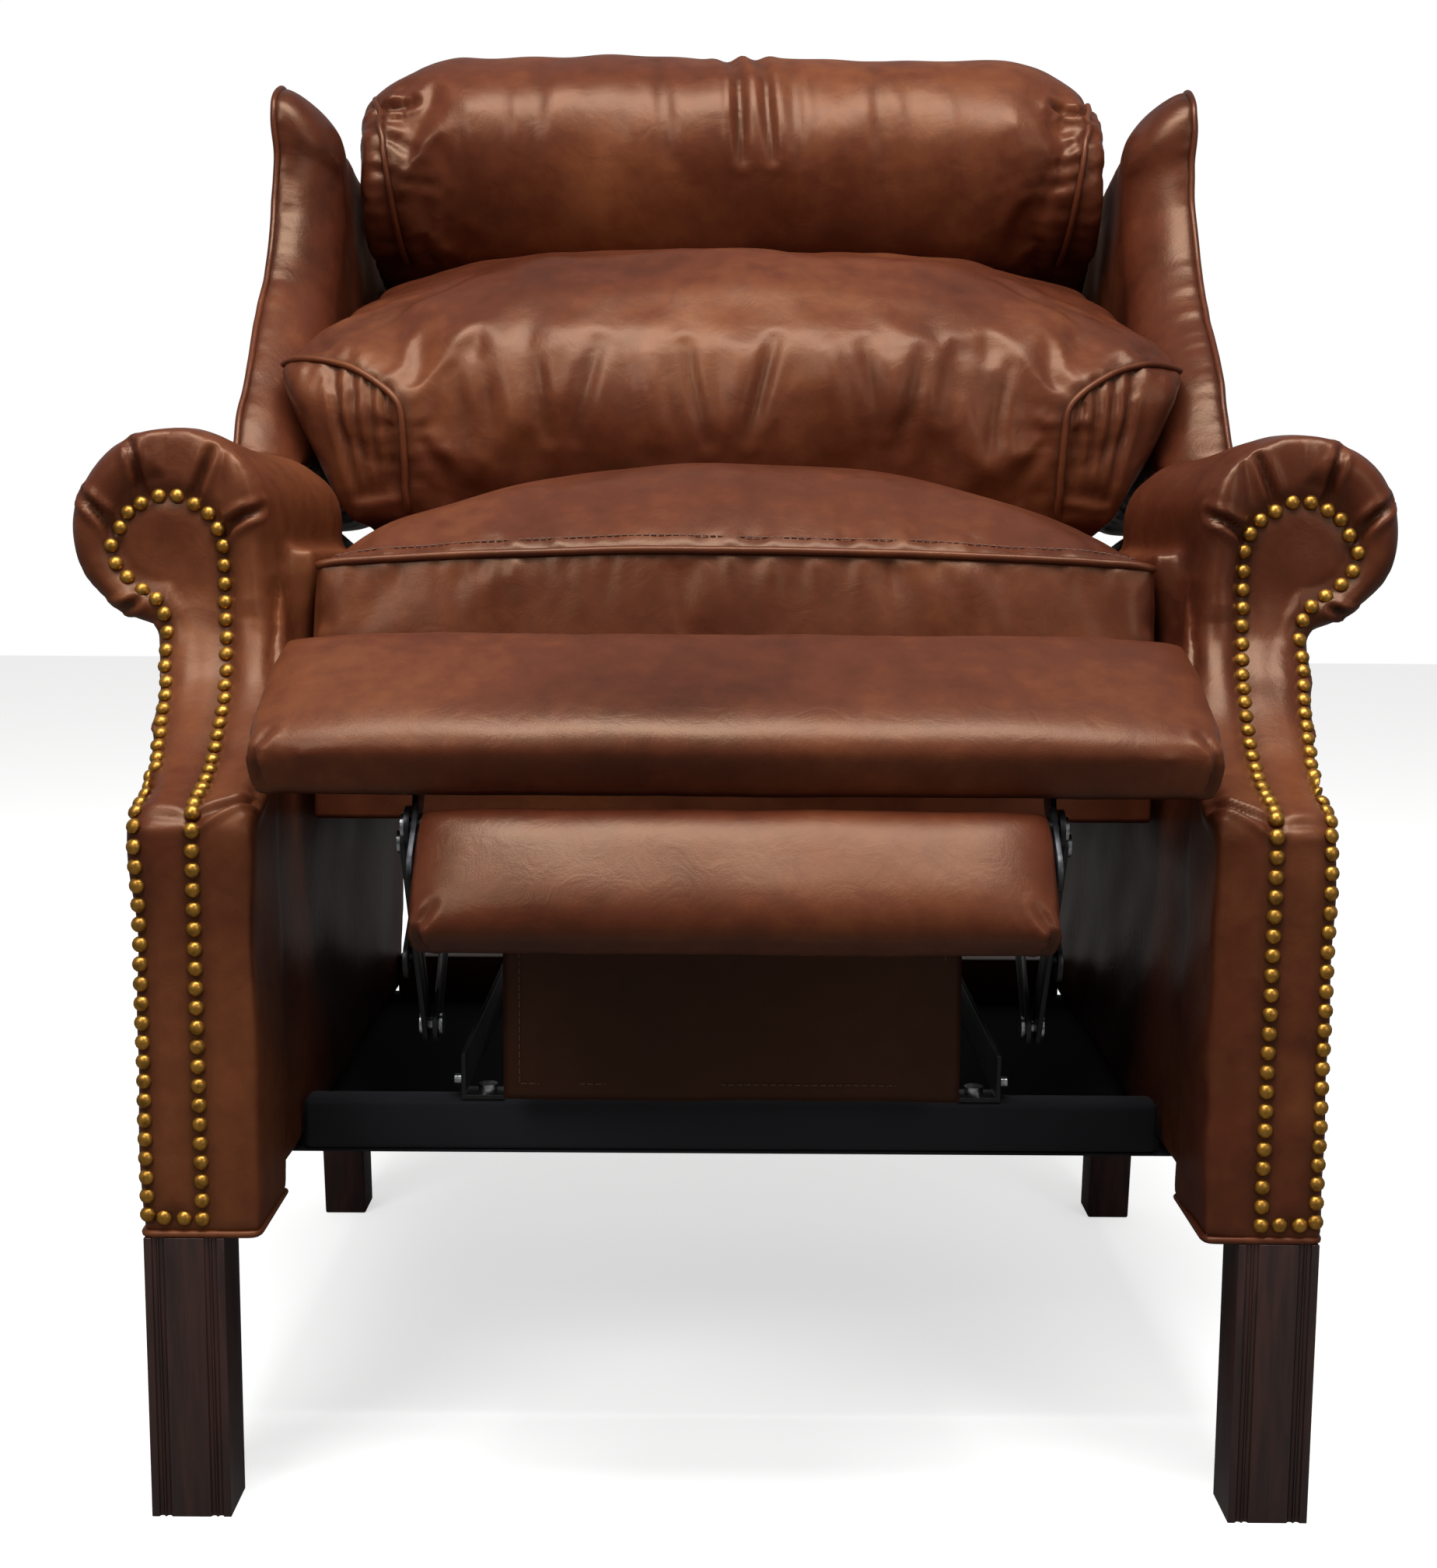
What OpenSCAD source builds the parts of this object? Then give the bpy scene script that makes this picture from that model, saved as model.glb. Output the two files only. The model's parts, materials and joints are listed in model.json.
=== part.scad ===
// Wing-back push-back recliner, drawn part-open: footrest out, seat front raised, back slightly reclined.
// Millimetres, +Z up, the sitter faces -Y, +X is to the right of somebody looking at the chair's front.
// Chair coordinates have Y = 0 at the front face of the arm posts; chair() shifts them to the row frame.

/* [Overall] */
// Distance from the front of the arm posts back to the middle of the chair's outline
front_to_origin = 362; // [352:1:372]
// Half of the clear width between the arms
half_inside = 271; // [265:1:275]
// Half width over the outer faces of the lower arm posts
half_post = 337; // [330:1:345]
// Underside of the base rails above the floor
base_z = 181; // [175:1:190]

/* [Legs] */
// Width of a square front leg
front_leg_w = 46; // [40:1:48]
// Height of a front leg up to the leather
front_leg_h = 168; // [160:1:172]
// Width of a rear leg
rear_leg_w = 33; // [28:1:36]

/* [Arms] */
// Radius of the arm scroll at the front
scroll_r = 58; // [54:1:60]
// Radius of the arm roll at the rear
roll_rear_r = 40; // [36:1:42]
// Height of the scroll centre
scroll_z = 566; // [560:1:568]
// Setback of the scroll face behind the lower post
scroll_back = 153; // [145:1:160]
// Diameter of a decorative nail head
nail_d = 9.5; // [8:0.5:10]
// Spacing of the nail heads
nail_pitch = 11; // [10.5:0.1:14]

/* [Seat] */
// Backward slope of the seat frame in the part-open pose
seat_pitch = 8; // [6:0.5:9]
// Thickness of the seat cushion at its welts
cushion_t = 110; // [100:1:115]
// Extra height of the cushion's crown
cushion_crown = 71; // [50:1:75]

/* [Back] */
// Lean of the back from vertical in the part-open pose
back_lean = 18; // [16:0.5:19]
// Thickness of the wings
wing_t = 46; // [40:1:48]
// Thickness of the back frame's timbers
back_t = 40; // [34:1:40]

/* [Footrest] */
// Slope of the wide footrest pad in the part-open pose
wide_pitch = 26; // [24:0.5:28]
// Depth of the wide footrest pad
wide_d = 127; // [115:1:130]
// Slope of the narrow footrest pad in the part-open pose
narrow_pitch = 51; // [49:0.5:52]
// Depth of the narrow footrest pad
narrow_d = 80; // [70:1:82]
// Thickness of both footrest pads
pad_t = 32; // [28:1:32]
// Thickness of the mechanism's steel plates
plate_t = 3; // [2.5:0.1:3.2]
// Radius of the linkage pins' bores
bore_r = 4; // [3.5:0.1:4.5]

/* [Hidden] */
$fn = 64;
clear = 0.3;
pin_r = bore_r - 0.05;
leather = [0.42, 0.21, 0.13];
wood_dark = [0.22, 0.12, 0.09];
wood_pale = [0.72, 0.58, 0.40];
steel_black = [0.08, 0.08, 0.09];
steel_grey = [0.45, 0.46, 0.48];
cloth_black = [0.05, 0.05, 0.06];
cloth_cream = [0.80, 0.76, 0.66];
brass = [0.67, 0.50, 0.22];

// Arms
inside_t = 20;
outside_t = 8;
arm_mid_in = half_inside + inside_t;
arm_mid_out = half_post - outside_t;
post_inner = 268;
post_depth = 78;
scroll_x = 349;
roll_rear_x = 325;
roll_rear_z = 500;
facing_t = 34;
roll_front_y = scroll_back + facing_t;
roll_rear_y = 640;
side_top_z = 535;
side_rear_low = 562;
side_rear_high = 648;
neck_outer = 355;
neck_z = 490;
knee_z = 412;

// Base
rail_h = 32;
rail_t = 22;
front_rail_y = 126;
rear_rail_y = 535;
cover_t = 2.8;
leg_top = base_z - cover_t - clear;
rail_top = base_z + rail_h;
side_rail_top = 240;

// Seat and back reference points
seat_origin = [155, 432];
tilt_pivot = [545, 320];
back_pivot = [590, 395];
seat_half = 262;
seat_depth = 429;
timber = 24;
seat_rail_h = 45;

// Linkage pivots in chair (Y, Z)
link_pivot = [185, 365];
guide_pivot = [152, 374];
knee = [98, 270];
bracket_pivot = [20, 395];
guide_point = 0.4;
flipper_pivot = [-6, 408];
wide_centre = [26, 470.4];
narrow_centre = [-38.6, 382.9];
base_plate_x = 166;
seat_plate_x = 172;
lower_link_x = 178;
upper_link_x = 184;
guide_link_x = 190;
bracket_x = 178;
flipper_plate_x = 173;
narrow_half = 170;
wide_half = 264;
link_end_r = 11;

// ---- frames of reference -------------------------------------------------

// Chair coordinates into the row frame
module chair() {
    translate([0, -front_to_origin, 0]) children();
}

// Both sides of the chair
module both() {
    children();
    mirror([1, 0, 0]) children();
}

// One side: +1 as drawn, -1 mirrored
module side(s) {
    if (s > 0) children();
    else mirror([1, 0, 0]) children();
}

// A (Y, Z) outline as a plate from X = x, t thick
module plate(x, t = plate_t) {
    translate([x, 0, 0]) rotate([90, 0, 90]) linear_extrude(t) children();
}

// The raised seat's own frame: Y back along the seat, Z up from the top of its timbers
module seat_frame() {
    chair() translate([0, seat_origin.x, seat_origin.y]) rotate([-seat_pitch, 0, 0]) children();
}

// The back's own frame: Z up along the back, -Y towards the sitter
module back_frame() {
    chair() translate([0, back_pivot.x, back_pivot.y]) rotate([-back_lean, 0, 0]) children();
}

// A footrest pad's own frame at its centre: -Y towards its front edge, +Z out of its face
module pad_frame(centre, pitch) {
    chair() translate([0, centre.x, centre.y]) rotate([pitch, 0, 0]) children();
}

// Point of the seat frame (y, z) for a chair point p
function in_seat(p) = let(d = p - seat_origin)
    [d.x * cos(seat_pitch) - d.y * sin(seat_pitch), d.x * sin(seat_pitch) + d.y * cos(seat_pitch)];

// Straight bar with round ends between two points, as a flat outline
module bar2d(a, b, r) {
    d = b - a;
    turn = atan2(d.y, d.x);
    polygon(concat([for (i = [-90:15:90]) b + r * [cos(turn + i), sin(turn + i)]],
                   [for (i = [90:15:270]) a + r * [cos(turn + i), sin(turn + i)]]));
}

// Pivot pin across X from x0 to x1 at the chair point p
module pin(p, x0, x1, r = pin_r) {
    translate([x0, p.x, p.y]) rotate([0, 90, 0]) cylinder(r = r, h = x1 - x0);
}

// Pin with a rivet head on each end
module rivet(p, x0, x1) {
    pin(p, x0, x1);
    pin(p, x0 - 2, x0, bore_r + 3);
    pin(p, x1, x1 + 2, bore_r + 3);
}

// ---- base ----------------------------------------------------------------

// Square leg with fluted front and outer faces and a chamfered inner back corner
module front_leg(s) {
    flute_r = 1.6;
    x0 = half_post - 2 - front_leg_w;
    color(wood_dark) chair() side(s) difference() {
        linear_extrude(front_leg_h) polygon([
            [x0, 0], [x0 + front_leg_w, 0], [x0 + front_leg_w, front_leg_w],
            [x0 + 10, front_leg_w], [x0, front_leg_w - 10]]);
        for (i = [0:3]) translate([x0 + 6 + i * 4 + (i > 1 ? 22 : 0), 0, -1])
            cylinder(r = flute_r, h = front_leg_h + 2, $fn = 24);
        for (i = [0:3]) translate([x0 + front_leg_w, 6 + i * 4 + (i > 1 ? 22 : 0), -1])
            cylinder(r = flute_r, h = front_leg_h + 2, $fn = 24);
    }
}

// Plain rear leg, raked back, with a slight curve on its rear edge
module rear_leg(s) {
    color(wood_dark) chair() side(s) plate(298, rear_leg_w) polygon([
        [519, 0], [555, 0], [550, 50], [547, 100], [546, leg_top], [503, leg_top], [508, 90]]);
}

module front_rail() {
    color(cloth_black) chair() translate([-post_inner + clear, front_rail_y, base_z])
        cube([2 * (post_inner - clear), rail_t, rail_h]);
}

module rear_rail() {
    color(wood_pale) chair() translate([-half_inside + clear, rear_rail_y, base_z])
        cube([2 * (half_inside - clear), rail_t, rail_h]);
}

module side_rail(s) {
    color(wood_pale) chair() side(s) translate([arm_mid_in, post_depth, base_z])
        cube([arm_mid_out - arm_mid_in, side_rear_low - post_depth, side_rail_top - base_z]);
}

// Rear edge Y of an arm's side at height z
function rear_at(z) = side_rear_low
    + (side_rear_high - side_rear_low) * (z - base_z) / (side_top_z - base_z);

// Outline of an arm's side behind its front post, from height z0 to the roll
module arm_side_outline(z0) {
    polygon([
        [post_depth, z0], [rear_at(z0), z0], [rear_at(side_top_z), side_top_z],
        [roll_front_y, side_top_z + 20], [roll_front_y, 500], [post_depth, 430]]);
}

// Tapering roll along the top of the arm
module roll_solid() {
    axis = [roll_rear_x - scroll_x, roll_rear_y - roll_front_y, roll_rear_z - scroll_z];
    yaw = -atan2(axis.x, axis.y);
    rise = atan2(axis.z, norm([axis.x, axis.y]));
    translate([scroll_x, roll_front_y, scroll_z]) rotate([0, 0, yaw]) rotate([rise - 90, 0, 0])
        cylinder(r1 = scroll_r - 1, r2 = roll_rear_r, h = norm(axis));
}

module arm_panel(s) {
    color(wood_pale) chair() side(s) difference() {
        plate(arm_mid_in, arm_mid_out - arm_mid_in) arm_side_outline(side_rail_top);
        roll_solid();
    }
}

module arm_inside(s) {
    color(leather) chair() side(s) difference() {
        plate(half_inside, inside_t) arm_side_outline(base_z);
        roll_solid();
    }
}

module arm_outside(s) {
    color(leather) chair() side(s) difference() {
        plate(arm_mid_out, outside_t) arm_side_outline(base_z - cover_t);
        roll_solid();
    }
}

// The roll, cut square at its front where the facing stands against it
module arm_roll(s) {
    color(leather) chair() side(s) difference() {
        roll_solid();
        translate([0, 0, 300]) cube([500, roll_front_y, 500]);
    }
}

// Front outline (X, Z) of the arm facing: scroll, neck and lower post
module facing_outline() {
    translate([scroll_x, scroll_z]) circle(scroll_r);
    polygon([
        [post_inner, front_leg_h + 0.2], [half_post, front_leg_h + 0.2], [half_post, knee_z],
        [neck_outer - 6, 450], [neck_outer, neck_z], [scroll_x + 10, scroll_z - 40],
        [scroll_x, scroll_z], [scroll_x - 55, scroll_z - 10], [half_inside + 12, 520],
        [half_inside + 2, 470], [post_inner, knee_z]]);
}

// Setback Y of the facing's front at each height Z: upright, an S sweep, upright again
facing_table = [
    [front_leg_h, 0], [404, 0], [412, 3], [418, 16], [425, 42], [438, 74], [458, 104],
    [480, 128], [505, 146], [530, scroll_back], [scroll_z + scroll_r + 5, scroll_back]];

// Side outline (Y, Z) of the facing
module facing_side() {
    polygon(concat(
        [for (row = facing_table) [row[1], row[0]]],
        [[roll_front_y, scroll_z + scroll_r + 5], [roll_front_y, 500],
         [post_depth, 430], [post_depth, front_leg_h]]));
}

module arm_front(s) {
    color(leather) chair() side(s) intersection() {
        plate(post_inner - 1, 160) facing_side();
        translate([0, roll_front_y + 1, 0]) rotate([90, 0, 0]) linear_extrude(roll_front_y + 2) facing_outline();
    }
}

// Nail line (X, Z) on the right facing: up the inner side, round the scroll, down the outer side
nail_in = 301;
nail_out = 332.7;
nail_low = front_leg_h + 11;
nail_loop = [349, 553];
nail_loop_r = 34;
nail_gap = 1.3;
nail_line = concat(
    [[nail_in, nail_low], [nail_in, 404], [nail_loop.x - nail_loop_r, 520]],
    [for (a = [180:-15:0]) nail_loop + nail_loop_r * [cos(a), sin(a)]],
    [[379, 541], [366, 532], [355, 524], [350, 511], [349, 490], [nail_out, 404], [nail_out, nail_low],
     [nail_in + 10, nail_low]]);
nail_path = [for (p = nail_line) [p.x, lookup(p[1], facing_table), p[1]]];

// Surface point at height z between two path points
function on_facing(p, q, t) = let(m = p + (q - p) * t) [m.x, lookup(m.z, facing_table), m.z];

// The nail line cut fine enough to follow the sweep
nail_fine = [for (i = [0:len(nail_path) - 2], t = [0:0.05:0.95]) on_facing(nail_path[i], nail_path[i + 1], t)];

// Distance along the fine line up to each of its points
function run(pts, i = 0, sum = 0, out = []) = i >= len(pts) ? out
    : let(d = i == 0 ? 0 : norm(pts[i] - pts[i - 1])) run(pts, i + 1, sum + d, concat(out, [[sum + d, i]]));
nail_run = run(nail_fine);
nail_count = floor(nail_run[len(nail_run) - 1][0] / nail_pitch);

module nail() {
    r = nail_d / 2;
    rotate_extrude($fn = 24) intersection() {
        translate([0, 3 - r * 1.2]) circle(r * 1.2);
        square([r, 3]);
    }
}

module nailheads() {
    color(brass) chair() both() for (k = [0:nail_count]) {
        p = nail_fine[round(lookup(k * nail_pitch, nail_run))];
        rise = lookup(p.z + 2, facing_table) - lookup(p.z - 2, facing_table);
        tilt = atan2(rise, 4);
        translate(p) rotate([90 - tilt, 0, 0]) translate([0, 0, nail_gap]) nail();
    }
}

// Steel angle bolted across the base rails, with a lug up to the tilt pivot
module base_plate(s) {
    foot_w = 24;
    lug_r = 11;
    front_y = front_rail_y + 1;
    rear_y = rear_rail_y + rail_t - 1;
    color(steel_black) chair() side(s) {
        difference() {
            plate(base_plate_x) union() {
                translate([front_y, rail_top]) square([rear_y - front_y, 30]);
                polygon([[rear_y - 60, rail_top + 30], [rear_y, rail_top + 30],
                         tilt_pivot + [10, 3], tilt_pivot + [-10, 3]]);
                translate(tilt_pivot) circle(lug_r);
            }
            pin(tilt_pivot, base_plate_x - 1, base_plate_x + plate_t + 1, bore_r);
        }
        for (y = [front_y, rear_rail_y + 1]) translate([base_plate_x - foot_w, y, rail_top])
            cube([foot_w, rail_t - 2, plate_t]);
    }
}

// Bolts down through the angles' feet, and a stub outwards at each front end
module base_bolts() {
    color(steel_grey) chair() both() {
        for (y = [front_rail_y + rail_t / 2, rear_rail_y + rail_t / 2])
            translate([base_plate_x - 13, y, rail_top + plate_t]) cylinder(r = 6, h = 5);
        pin([front_rail_y + 12, rail_top + 10], base_plate_x + plate_t, base_plate_x + plate_t + 5, 3.5);
    }
}

module dust_cover() {
    color(cloth_black) chair() translate([-arm_mid_in - 20, front_rail_y + 2, base_z - cover_t - 0.2])
        cube([2 * (arm_mid_in + 20), rear_rail_y - front_rail_y + 16, cover_t]);
}

module tilt_pins() {
    color(steel_grey) chair() both() rivet(tilt_pivot, base_plate_x - 0.2, seat_plate_x + plate_t + 0.4);
}

// ---- raised seat ---------------------------------------------------------

module seat_front_rail() {
    color(wood_pale) seat_frame() translate([-seat_half, 0, -seat_rail_h])
        cube([2 * seat_half, timber, seat_rail_h]);
}

module seat_rear_rail() {
    color(wood_pale) seat_frame() translate([-seat_half, seat_depth - timber, -seat_rail_h])
        cube([2 * seat_half, timber, seat_rail_h]);
}

module seat_side_rail(s) {
    color(wood_pale) seat_frame() side(s) translate([seat_half - timber, timber, -seat_rail_h])
        cube([timber, seat_depth - 2 * timber, seat_rail_h]);
}

// Flat outline of one zigzag spring, running along X of the outline
module zigzag(length, half_width, pitch, wire) {
    steps = floor(length / pitch) * 12;
    line = [for (i = [0:steps]) [i * pitch / 12, half_width * sin(i * 30)]];
    polygon(concat([for (p = line) p + [0, wire / 2]],
                   [for (i = [steps:-1:0]) line[i] - [0, wire / 2]]));
}

// Five zigzag springs from the front rail to the rear rail
module seat_springs() {
    color(steel_grey) seat_frame() for (i = [-2:2]) translate([i * 92, timber + 1, -12])
        rotate([0, 0, 90]) linear_extrude(3.5) zigzag(seat_depth - 2 * timber - 2, 22, 42, 5);
}

// Webbing and felt tacked over the springs
module seat_deck() {
    color(cloth_cream) seat_frame() translate([-seat_half, 0, 0]) cube([2 * seat_half, seat_depth, 6]);
}

// Boxed cushion, crowned across its width and highest a third of the way back
module seat_cushion() {
    half = half_inside - 5;
    cushion_rear = 419;
    side_line = [[-21, 6.3], [-21, cushion_t + 6], [20, 150], [70, 178], [120, cushion_t + 6 + cushion_crown],
                 [177, 178], [257, 140], [340, 100], [cushion_rear, 76], [cushion_rear, 6.3]];
    across = concat([[-half, 6.3]],
        [for (a = [0:10:180]) [-half * cos(a), cushion_t + 6 + (cushion_crown + 1) * sin(a)]], [[half, 6.3]]);
    color(leather) seat_frame() intersection() {
        plate(-half, 2 * half) polygon(side_line);
        translate([0, 440, 0]) rotate([90, 0, 0]) linear_extrude(480) polygon(across);
    }
}

// Side plate of the mechanism under the seat timbers, bored for every pivot that it carries
module seat_plate(s) {
    top = -seat_rail_h - clear;
    color(steel_black) seat_frame() side(s) difference() {
        plate(seat_plate_x) union() {
            polygon([[2, top], [2, top - 22], [60, top - 32], [400, top - 26], [416, top - 20], [448, top - 20],
                     [448, 24], [seat_depth + 0.6, 24], [seat_depth + 0.6, top]]);
            translate(in_seat(back_pivot)) circle(12);
            translate(in_seat(guide_pivot)) circle(10);
        }
        for (p = [link_pivot, guide_pivot, tilt_pivot, back_pivot])
            pin(in_seat(p), seat_plate_x - 1, seat_plate_x + plate_t + 1, bore_r);
    }
}

// Leather curtain hanging from the seat's front timber to the base rail
module apron() {
    color(leather) chair() translate([-140, front_rail_y - 20, rail_top + 7]) cube([280, 2, 151]);
}

module link_pins() {
    color(steel_grey) chair() both() {
        rivet(link_pivot, seat_plate_x - 0.4, lower_link_x + plate_t + 0.4);
        rivet(guide_pivot, seat_plate_x - 0.4, guide_link_x + plate_t + 0.4);
    }
}

module back_pins() {
    color(steel_grey) chair() both() rivet(back_pivot, seat_plate_x - 0.4, bracket_x + plate_t + 0.4);
}

// ---- back ----------------------------------------------------------------

back_h = 540;
wide_from = 200;
upper_half = 298;
outside_half = 349;

// Upright timber, wide above the arms and stepped in between them
module back_stile(s) {
    color(wood_pale) back_frame() side(s) translate([0, back_t, 0]) rotate([90, 0, 0])
        linear_extrude(back_t) polygon([
            [seat_half - 50, 30], [seat_half, 30], [seat_half, wide_from], [upper_half, wide_from + 20],
            [upper_half, back_h], [upper_half - 50, back_h], [upper_half - 50, wide_from + 40],
            [seat_half - 50, wide_from + 10]]);
}

module back_top_rail() {
    w = upper_half - 50;
    color(wood_pale) back_frame() translate([-w, 0, back_h - 60]) cube([2 * w, back_t, 60]);
}

module back_bottom_rail() {
    w = seat_half - 50;
    color(wood_pale) back_frame() translate([-w, 0, 30]) cube([2 * w, back_t, 45]);
}

// Zigzag springs up the back between the top and bottom rails
module back_springs() {
    color(steel_grey) back_frame() for (i = [-2:2]) translate([i * 84, 20, 76])
        rotate([0, -90, 90]) linear_extrude(3.5) zigzag(back_h - 60 - 78, 20, 40, 5);
}

// Padded lining in front of the timbers
module inside_back() {
    color(leather) back_frame() translate([-254, -30, 80]) cube([508, 30, back_h - 85]);
}

// Leather panel closing the rear
module outside_back() {
    color(leather) back_frame() translate([0, back_t + 6, 0]) rotate([90, 0, 0]) linear_extrude(6) polygon([
        [-seat_half, 10], [seat_half, 10], [seat_half, wide_from], [outside_half, wide_from],
        [outside_half, 393], [upper_half, 403], [upper_half, back_h], [-upper_half, back_h],
        [-upper_half, 403], [-outside_half, 393], [-outside_half, wide_from], [-seat_half, wide_from]]);
}

// Wing flowing forward over the arm, with a rounded ear at the top of its front edge
module wing(s) {
    ear = [-196, 430];
    ear_r = 36;
    color(leather) back_frame() side(s) plate(outside_half - wing_t, wing_t - 0.2) union() {
        polygon([
            [-306, 130], [-277, 205], [-244, 265], [-222, 320], [-216, 366], [-221, 398],
            ear - [ear_r, 0], ear, [-170, 455], [-131, 424], [-60, 402], [back_t, 392], [back_t, 185],
            [-30, 160], [-150, 146]]);
        translate(ear) circle(ear_r);
    }
}

// Thick lower pillow between the arms, with ears that stand out in front of the wings
module lumbar_pillow() {
    body_half = 250;
    ear_half = 328;
    color(leather) back_frame() {
        plate(-body_half, 2 * body_half) polygon([
            [-31, 100], [-190, 105], [-278, 128], [-322, 190], [-322, 270], [-272, 326], [-150, 358], [-31, 358]]);
        both() plate(body_half, ear_half - body_half) polygon([
            [-302, 172], [-322, 178], [-322, 235], [-300, 262], [-262, 262], [-283, 205]]);
    }
}

// Round head pillow between the wings
module head_pillow() {
    color(leather) back_frame() plate(-297, 594) intersection() {
        translate([-108, 453]) circle(92);
        translate([-202, 362]) square([171, 190]);
    }
}

// Plates from the seat's pivots up to the back's bottom rail
module back_hinge_plates() {
    color(steel_black) back_frame() both() difference() {
        plate(bracket_x) union() {
            circle(12);
            polygon([[-12, 0], [12, 0], [12, 20], [-clear, 29], [-clear, 74], [-18, 74]]);
        }
        pin([0, 0], bracket_x - 1, bracket_x + plate_t + 1, bore_r);
    }
}

// ---- footrest linkage ----------------------------------------------------

// A flat steel link on both sides, bored at both ends
module link(a, b, x) {
    color(steel_black) chair() both() difference() {
        plate(x) bar2d(a, b, link_end_r);
        pin(a, x - 1, x + plate_t + 1, bore_r);
        pin(b, x - 1, x + plate_t + 1, bore_r);
    }
}

module lower_links() {
    link(link_pivot, knee, lower_link_x);
}

// The long upper link has a third bore where the guide link meets it
module upper_links() {
    mid = knee + (bracket_pivot - knee) * guide_point;
    link(knee, bracket_pivot, upper_link_x);
    color(steel_grey) chair() both() rivet_stub(mid);
}

// Riveted stud that stands out of the upper link into the guide link's slot
module rivet_stub(p) {
    pin(p, upper_link_x + plate_t, guide_link_x + plate_t + 1, bore_r);
}

module knee_pins() {
    color(steel_grey) chair() both() rivet(knee, lower_link_x - 0.4, upper_link_x + plate_t + 0.4);
}

module bracket_pins() {
    color(steel_grey) chair() both() rivet(bracket_pivot, bracket_x - 0.4, upper_link_x + plate_t + 0.4);
}

// Guide link: a plain bore at the seat and a slot for the upper link's stud
module guide_links() {
    mid = knee + (bracket_pivot - knee) * guide_point;
    d = mid - guide_pivot;
    u = d / norm(d);
    slot = 9;
    color(steel_black) chair() both() difference() {
        plate(guide_link_x) bar2d(guide_pivot, mid + u * slot * 0.6, link_end_r);
        pin(guide_pivot, guide_link_x - 1, guide_link_x + plate_t + 1, bore_r);
        plate(guide_link_x - 1, plate_t + 2) bar2d(mid - u * slot, mid + u * slot, bore_r + 0.8);
    }
}

// ---- footrest ------------------------------------------------------------

board_t = 12;

module footrest_board() {
    color(wood_pale) pad_frame(wide_centre, wide_pitch)
        translate([-wide_half + 12, -45, -pad_t / 2 - board_t]) cube([2 * wide_half - 24, 100, board_t - clear]);
}

module footrest_pad() {
    color(leather) pad_frame(wide_centre, wide_pitch)
        translate([-wide_half, -wide_d / 2, -pad_t / 2]) cube([2 * wide_half, wide_d, pad_t]);
}

// Steel brackets screwed under the board, carrying the upper links and the flipper
module footrest_brackets() {
    under = function(y) wide_centre + [y * cos(wide_pitch) + (pad_t / 2 + board_t + 0.6) * sin(wide_pitch),
        y * sin(wide_pitch) - (pad_t / 2 + board_t + 0.6) * cos(wide_pitch)];
    color(steel_black) chair() both() difference() {
        plate(bracket_x) union() {
            bar2d(bracket_pivot, flipper_pivot, link_end_r);
            polygon([under(-12), under(50), bracket_pivot + [11, 0], bracket_pivot - [11, 0]]);
        }
        for (p = [bracket_pivot, flipper_pivot])
            pin(p, bracket_x - 1, bracket_x + plate_t + 1, bore_r);
    }
}

module flipper_pins() {
    color(steel_grey) chair() both() rivet(flipper_pivot, flipper_plate_x - 0.4, bracket_x + plate_t + 0.4);
}

module flipper_pad() {
    color(leather) pad_frame(narrow_centre, narrow_pitch)
        translate([-narrow_half, -narrow_d / 2, -pad_t / 2]) cube([2 * narrow_half, narrow_d, pad_t]);
}

// Plates screwed to the ends of the narrow pad
module flipper_brackets() {
    color(steel_grey) chair() both() difference() {
        plate(flipper_plate_x) bar2d(flipper_pivot, narrow_centre + [8, 6], 12);
        pin(flipper_pivot, flipper_plate_x - 1, flipper_plate_x + plate_t + 1, bore_r);
    }
}

front_leg(-1);  // front_leg_left
front_leg(1);  // front_leg_right
rear_leg(-1);  // rear_leg_left
rear_leg(1);  // rear_leg_right
front_rail();
rear_rail();
side_rail(-1);  // side_rail_left
side_rail(1);  // side_rail_right
arm_panel(-1);  // arm_panel_left
arm_panel(1);  // arm_panel_right
arm_inside(-1);  // arm_inside_left
arm_inside(1);  // arm_inside_right
arm_outside(-1);  // arm_outside_left
arm_outside(1);  // arm_outside_right
arm_roll(-1);  // arm_roll_left
arm_roll(1);  // arm_roll_right
arm_front(-1);  // arm_front_left
arm_front(1);  // arm_front_right
nailheads();
base_plate(-1);  // base_plate_left
base_plate(1);  // base_plate_right
base_bolts();
dust_cover();
tilt_pins();
seat_front_rail();
seat_rear_rail();
seat_side_rail(-1);  // seat_side_rail_left
seat_side_rail(1);  // seat_side_rail_right
seat_springs();
seat_deck();
seat_cushion();
seat_plate(-1);  // seat_plate_left
seat_plate(1);  // seat_plate_right
apron();
link_pins();
back_pins();
back_stile(-1);  // back_stile_left
back_stile(1);  // back_stile_right
back_top_rail();
back_bottom_rail();
back_springs();
inside_back();
outside_back();
wing(-1);  // wing_left
wing(1);  // wing_right
lumbar_pillow();
head_pillow();
back_hinge_plates();
lower_links();
knee_pins();
upper_links();
bracket_pins();
guide_links();
footrest_board();
footrest_pad();
footrest_brackets();
flipper_pins();
flipper_pad();
flipper_brackets();
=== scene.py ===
import json
import logging
import math
from dataclasses import dataclass, field
from enum import Enum
from typing import Sequence

import bmesh
import bpy
import numpy as np
from mathutils import Matrix, Vector
from mathutils.bvhtree import BVHTree


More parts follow.
